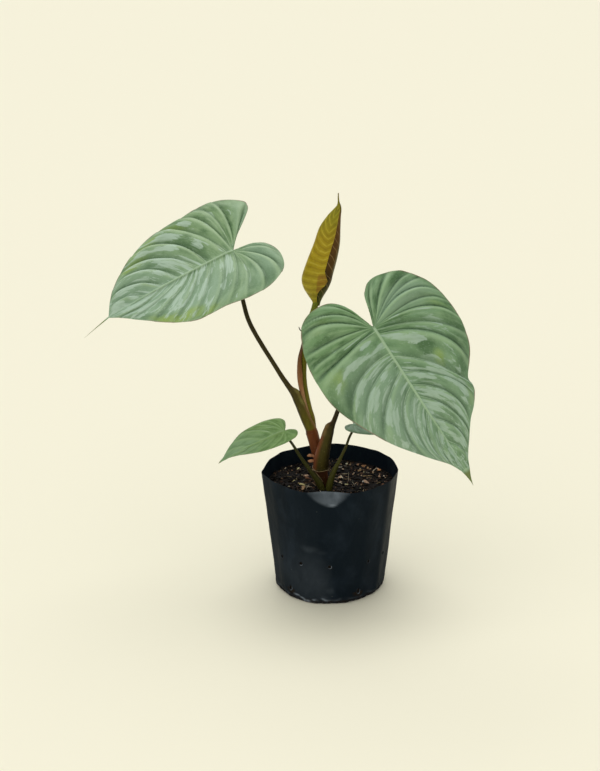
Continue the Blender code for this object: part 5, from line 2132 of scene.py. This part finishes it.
@dataclass
class PottingMix:
    """The mix: a crumbly body that fills the bag, loose crumbs, chips, perlite and fibres.

    Marked chips are (x, y, size, colour). Crumb tones are (colour, how common it is). Splinters
    are (x, y, length, turn, rise, colour).
    """

    bag: GrowBag
    mound: float = 2.0
    mound_middle: tuple = (-7.0, -9.0)
    mound_spread: float = 22.0
    lump: float = 0.6
    sides: int = 240
    wall_rings: int = 16
    top_rings: int = 70
    floor_rings: int = 6
    crumbs: int = 2200
    fibre_count: int = 70
    film: float = 0.55
    seed: int = 7
    marked: tuple = (
        (-33.3, 3.6, 4.0, "cbbb84"), (-26, -8.5, 4.4, "cdc088"), (-29, -2, 2.6, "b39a6a"),
        (-31.5, 9, 2.2, "c2ae84"), (-36, -1, 2.0, "a8926c"), (53, 36.5, 4.4, "bd865a"),
        (50.5, 40, 2.4, "d0a888"), (35, 43, 4.2, "a27856"), (38, 38, 3.0, "b8946c"),
        (6, 0.6, 3.0, "ae9480"), (11, 0, 2.2, "b9a48e"), (12, 49, 3.0, "bfa182"),
        (-20, 33, 4.6, "9c7c66"), (-16, 30, 3.0, "b39478"), (-28, 36, 2.4, "a58a74"),
        (-36, 44, 2.6, "a8907c"), (21.6, 47, 2.4, "b09478"), (29, 46, 2.6, "8d6c52"),
        (53, 16, 2.8, "c9b8a0"), (32.4, 5.7, 2.4, "dcd4c4"), (26, -19, 2.0, "c4b69c"),
        (14, 33, 2.4, "c2a88c"), (43, 27, 2.4, "a88c70"), (-44, 20, 2.2, "a89078"),
        (24, 24, 2.2, "c0a890"), (-22, 14, 2.0, "b09c84"), (46, 4, 2.0, "b8a48c"),
    )
    crumb_tones: tuple = (("0b0806", 0.40), ("170f0a", 0.22), ("261a11", 0.10), ("3f2a1c", 0.07),
                          ("755842", 0.08), ("9c7c62", 0.07), ("b89c80", 0.04), ("cdbf9c", 0.02))
    splinters: tuple = ((18.4, 5, 9.5, 90, 80, "cfc4ac"), (36.5, 17.5, 9, 4, 3, "ab916c"),
                        (22.7, -8, 5.5, 150, 50, "cfc4ac"), (-21, -18, 5.5, 30, 50, "cfc4ac"),
                        (12, 12, 5, 120, 20, "cfc4ac"), (45, 33, 6, 30, 35, "cfc4ac"))
    fibre_tones: tuple = ("b9aa88", "8a7050", "d8d0bc", "5a4330", "a08a66")

    def level(self, x: np.ndarray, y: np.ndarray) -> np.ndarray:
        """The mix's top without its crumbs.

        Args:
            x: places to the right, mm.
            y: places to the back, mm.

        Returns:
            The height at each place, mm.
        """
        away = np.hypot(x - self.mound_middle[0], y - self.mound_middle[1])
        mound = self.mound * near(away, self.mound_spread)
        wave = np.sin(x / 7.0 + 1.0) * np.sin(y / 8.0) + 0.5 * np.sin((x - y) / 4.5)
        return MIX_LEVEL + mound + self.lump * wave

    def rough_level(self, x: np.ndarray, y: np.ndarray) -> np.ndarray:
        """The mix's top with its crumbly relief.

        Args:
            x: places to the right, mm.
            y: places to the back, mm.

        Returns:
            The height at each place, mm.
        """
        flat = rows_of(x, y, np.zeros_like(x))
        relief = 0.9 * ripple(flat, 5, 1.0) + 0.7 * ripple(flat, 2.4, 6.0)
        return self.level(x, y) + relief - 0.4

    def top_at(self, x: float, y: float) -> float:
        """Height of the mix's top at one place, mm."""
        return float(self.rough_level(np.array([x]), np.array([y]))[0])

    def body(self, effects: SharedEffects) -> Thing:
        """Builds and dresses the body of the mix, closed all round.

        Args:
            effects: the shared node groups.

        Returns:
            The finished piece.
        """
        low_rings = self.floor_rings + self.wall_rings
        mix, angle, ring = sleeve("potting_mix_body", self.sides, low_rings + self.top_rings)
        floor = np.clip(ring / self.floor_rings, 0, 1)
        wall = np.clip((ring - self.floor_rings) / self.wall_rings, 0, 1)
        top = np.clip((ring - low_rings) / self.top_rings, 0, 1)
        height = self.bag.corner + wall * (MIX_LEVEL - self.bag.corner)
        reach = self.bag.film(angle, height) - self.film
        edge = self.bag.film(angle, np.full_like(angle, MIX_LEVEL)) - self.film
        low = np.where(floor < 1, (reach - self.bag.corner) * floor, reach)
        out = np.where(top > 0, edge * (1 - top), low)
        x, y = out * np.cos(angle), out * np.sin(angle)
        up = np.where(top > 0, self.rough_level(x, y), np.where(floor < 1, 0.9, height))
        points = rows_of(x, y, up)
        lay(mix, points)
        mixed = (ripple(points, 3.0, 3.0) * 0.5 + 0.5)[:, None]
        tint(mix, pigment("090705") * (1 - mixed) + pigment("1b140c") * mixed)
        merge_doubles(mix)
        finish = GrainFinish(roughness=0.85, relief=1.0)
        mix.data.materials.append(finish.material("mix_body", effects))
        shade(mix, 45)
        return show(mix, "mix", "potting_mix")

    def pebble(self, faces: int, seed: float, flatten: float) -> tuple[np.ndarray, np.ndarray]:
        """An angular grain about 1 mm across.

        Args:
            faces: 1 for a coarse grain, 2 for a finer one.
            seed: changes its shape.
            flatten: its height as a share of its width.

        Returns:
            Its points and its triangles.
        """
        deselect()
        bpy.ops.mesh.primitive_ico_sphere_add(subdivisions=faces, radius=0.5)
        grain = bpy.context.active_object
        found = points_of(grain)
        shift = np.array([noise.noise(Vector(p) * 2.4 + Vector((seed, 0, seed))) for p in found])
        found *= (1 + 0.95 * shift)[:, None]
        found[:, 2] *= flatten
        corners = np.array([list(face.vertices) for face in grain.data.polygons])
        bpy.data.objects.remove(grain)
        return found, corners

    def scatter(self, name: str, kinds: list, places: list, tints: np.ndarray, finish: GrainFinish,
                grain: Grain, effects: SharedEffects, nodes: Sequence[str] = ()) -> Thing:
        """Copies of grains as one piece.

        Args:
            name: the piece's name.
            kinds: grain shapes to choose from, as (points, triangles).
            places: for each copy its kind, middle, sizes and turn.
            tints: a colour for each copy.
            finish: its finish.
            grain: what it is made of.
            effects: the shared node groups.
            nodes: the CAD nodes that the piece stands for.

        Returns:
            The finished piece.
        """
        points, faces, colours, count = [], [], [], 0
        for (kind, middle, sizes, turn), colour in zip(places, tints):
            shape, corners = kinds[kind]
            rotation = np.array(Euler(turn).to_matrix())
            points.append(shape * np.array(sizes) @ rotation.T + np.array(middle))
            faces.append(corners + count)
            colours.append(np.repeat(colour[None], len(shape), axis=0))
            count += len(shape)
        mesh = bpy.data.meshes.new(name)
        mesh.from_pydata((np.vstack(points) * MM).tolist(), [], np.vstack(faces).tolist())
        thing = bpy.data.objects.new(name, mesh)
        bpy.context.scene.collection.objects.link(thing)
        tint(thing, np.vstack(colours))
        mesh.materials.append(finish.material(f"{name}_grain", effects))
        shade(thing, 35)
        return show(thing, grain.value, *nodes)

    def free_of_stems(self, x: float, y: float) -> bool:
        """True where no stem stands in the mix."""
        return math.hypot(x + 7.3, y + 8.2) > 7.5 and math.hypot(x + 7, y - SMALL_FOOT) > 3.6 and (
            math.hypot(x + 0.8, y - SMALL_FOOT) > 4.2)

    def loose(self, effects: SharedEffects) -> None:
        """Crumbs, splinters and pale bits strewn over the mix.

        Args:
            effects: the shared node groups.
        """
        rng = np.random.default_rng(self.seed)
        kinds = [self.pebble(1, k * 2.3, 0.7) for k in range(7)]
        palette = np.array([linear(code) for code, _ in self.crumb_tones])
        odds = np.array([odd for _, odd in self.crumb_tones])
        places, tints = [], []
        for x, y, size, code in self.marked:
            edge = self.bag.reach(math.atan2(y, x), MIX_LEVEL)
            pull = min(1.0, (edge - 1.5 - 0.6 * size) / math.hypot(x, y))
            x, y = x * pull, y * pull
            z = self.top_at(x, y) + size * 0.3
            turn = (rng.uniform(-0.5, 0.5), rng.uniform(-0.5, 0.5), rng.uniform(0, 6.28))
            sizes = (size * 1.2, size * 0.9, size)
            places.append((rng.integers(len(kinds)), (x, y, z), sizes, turn))
            tints.append(pigment(code))
        while len(places) < self.crumbs:
            angle, spread = rng.uniform(-math.pi, math.pi), math.sqrt(rng.uniform(0, 1))
            edge = self.bag.reach(angle, MIX_LEVEL) - 2.2
            x, y = edge * spread * math.cos(angle), edge * spread * math.sin(angle)
            if not self.free_of_stems(x, y):
                continue
            tone = rng.choice(len(odds), p=odds / odds.sum())
            size = rng.gamma(3.0, 0.62) + 0.7
            size = min(size, 4.6) if tone < 4 else min(size, 3.4) * 0.5
            long = rng.uniform(1.0, 1.9)
            z = self.top_at(x, y) + size * 0.12
            turn = (rng.uniform(-0.6, 0.6), rng.uniform(-0.6, 0.6), rng.uniform(0, 6.28))
            sizes = (size * long, size, size * 0.8)
            places.append((rng.integers(len(kinds)), (x, y, z), sizes, turn))
            tints.append(palette[tone] * rng.uniform(0.7, 1.25))
        self.scatter("mix_crumbs", kinds, places, np.array(tints), GrainFinish(), Grain.CRUMB,
                     effects)

    def named_grains(self, effects: SharedEffects) -> None:
        """The larger bark chips and perlite, each where its CAD solid lies.

        Args:
            effects: the shared node groups.
        """
        rng = np.random.default_rng(self.seed + 1)
        looks = {
            Grain.BARK: (12, ["a58468", "b3927a", "6f4c34", "96785a", "57402c", "b09478"], 0.5),
            Grain.PERLITE: (6, ["c9bf92", "bdb48c", "cfc9b0"], 0.8),
        }
        for grain, (count, codes, flatten) in looks.items():
            kinds = [self.pebble(2, 1.9 * k + 40 * flatten, flatten) for k in range(5)]
            places, tints, nodes = [], [], []
            for number in range(1, count + 1):
                node = f"{grain.value}_{number}"
                low, high = (np.array(corner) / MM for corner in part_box(node))
                middle, size = (low + high) / 2, high - low
                span = 0.8 * float(max(size[0], size[1]))
                turn = (rng.uniform(-0.35, 0.35), rng.uniform(-0.35, 0.35), rng.uniform(0, 6.28))
                middle[2] = low[2] + size[2] * 0.38
                wide = span * rng.uniform(0.5, 0.7)
                places.append((number % 5, tuple(middle), (span, wide, span * 0.7), turn))
                tints.append(pigment(codes[number % len(codes)]))
                nodes.append(node)
            name = f"{grain.value}_pieces"
            self.scatter(name, kinds, places, np.array(tints), GrainFinish(depth=0.7), grain,
                         effects, nodes)

    def fibres(self, effects: SharedEffects) -> None:
        """Thin twigs, roots and pale splinters lying on the mix.

        Args:
            effects: the shared node groups.
        """
        rng = np.random.default_rng(self.seed + 2)
        splinter = self.pebble(1, 9.0, 0.5)
        places, tints = [], []
        for number in range(self.fibre_count):
            if number < len(self.splinters):
                x, y, long, turn, rise, tone = self.splinters[number]
            else:
                angle, spread = rng.uniform(-math.pi, math.pi), math.sqrt(rng.uniform(0, 1)) * 56
                x, y = spread * math.cos(angle), spread * math.sin(angle)
                long, turn, rise = rng.uniform(3, 9), rng.uniform(0, 180), rng.uniform(-12, 12)
                tone = self.fibre_tones[number % len(self.fibre_tones)]
            if not self.free_of_stems(x, y):
                continue
            lift = abs(math.sin(math.radians(rise))) * long * 0.4
            z = self.top_at(x, y) + 1.0 + lift
            tilt = (rng.uniform(-0.2, 0.2), -math.radians(rise), math.radians(turn))
            places.append((0, (x, y, z), (long, rng.uniform(0.35, 0.8), 0.6), tilt))
            tints.append(pigment(tone) * rng.uniform(0.6, 1.0))
        self.scatter("mix_fibres", [splinter], places, np.array(tints), GrainFinish(), Grain.CRUMB,
                     effects)

    def build(self, effects: SharedEffects) -> None:
        """Builds and dresses all of the mix.

        Args:
            effects: the shared node groups.
        """
        self.body(effects)
        self.loose(effects)
        self.named_grains(effects)
        self.fibres(effects)


@dataclass
class Roots:
    """The roots, whose CAD solids stay and get a better skin."""

    count: int = 5
    finish: RootFinish = RootFinish()

    def dress(self, effects: SharedEffects) -> None:
        """Gives each root its own material.

        Args:
            effects: the shared node groups.
        """
        for number in range(1, self.count + 1):
            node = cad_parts[f"root_{number}"]
            material = self.finish.material(f"root_{number}_skin", effects)
            for slot in node.material_slots:
                slot.material = material


# ---------------------------------------------------------------- studio


@dataclass
class Studio:
    """A plain pale floor, soft light and the camera."""

    floor_colour: str = "f6f2dc"
    camera_place: Place = (-0.028, -1.3094, 0.6363)
    camera_tilt: float = 71.6
    lens: float = 69.1
    sensor: float = 36.0
    floor_size: float = 400.0
    sky: tuple = (1.0, 0.99, 0.96, 1)
    sky_strength: float = 0.5

    def floor(self) -> None:
        """A wide floor that fills the view."""
        deselect()
        bpy.ops.mesh.primitive_plane_add(size=self.floor_size)
        floor = bpy.context.active_object
        floor.name = "studio_floor"
        material, _, shader = new_material("floor", Roughness=0.9, Specular_IOR_Level=0.1)
        shader.inputs["Base Color"].default_value = (*linear(self.floor_colour), 1.0)
        floor.data.materials.append(material)

    def sun(self, name: str, towards: Place, spread: float, power: float) -> None:
        """Adds soft light from far away, which falls evenly on the whole floor.

        Args:
            name: the light's name.
            towards: the direction that it comes from.
            spread: how wide its source looks, in degrees.
            power: its power in watts per square metre.
        """
        deselect()
        bpy.ops.object.light_add(type="SUN", location=Vector(towards))
        lamp = bpy.context.active_object
        lamp.name = name
        lamp.data.energy = power
        lamp.data.angle = math.radians(spread)
        lamp.rotation_euler = (-Vector(towards)).to_track_quat("-Z", "Y").to_euler()

    def camera(self) -> None:
        """Puts the camera in front of the plant and a little above it."""
        deselect()
        bpy.ops.object.camera_add(location=self.camera_place,
                                  rotation=(math.radians(self.camera_tilt), 0, 0))
        camera = bpy.context.active_object
        camera.data.lens = self.lens
        camera.data.sensor_width = self.sensor
        camera.data.clip_end = 200
        bpy.context.scene.camera = camera

    def build(self) -> None:
        """Sets the stage."""
        self.floor()
        self.camera()
        self.sun("overhead", (-0.05, 0.5, 1.0), 55, 1.3)
        self.sun("key", (-0.5, -0.65, 0.9), 85, 0.6)
        world = bpy.data.worlds.new("studio")
        world.use_nodes = True
        background = world.node_tree.nodes["Background"]
        background.inputs["Color"].default_value = self.sky
        background.inputs["Strength"].default_value = self.sky_strength
        bpy.context.scene.world = world
        bpy.context.scene.view_settings.view_transform = "Standard"


def main() -> None:
    """Builds the plant, its bag and the studio."""
    logging.basicConfig(level=logging.INFO, format="%(message)s")
    effects = SharedEffects()
    Studio().build()
    bag = GrowBag()
    bag.build(effects)
    PottingMix(bag).build(effects)
    Roots().dress(effects)
    for stalk in STALKS:
        stalk.build(effects)
    Cataphyll().build(effects)
    LeafScars().build(effects)
    RolledLeaf().build(effects)
    for blade in (LEFT_LEAF, RIGHT_LEAF, SMALL_LEAF, SPROUT_LEAF):
        blade.build(effects)
    deselect()


if __name__ == "__main__":
    main()
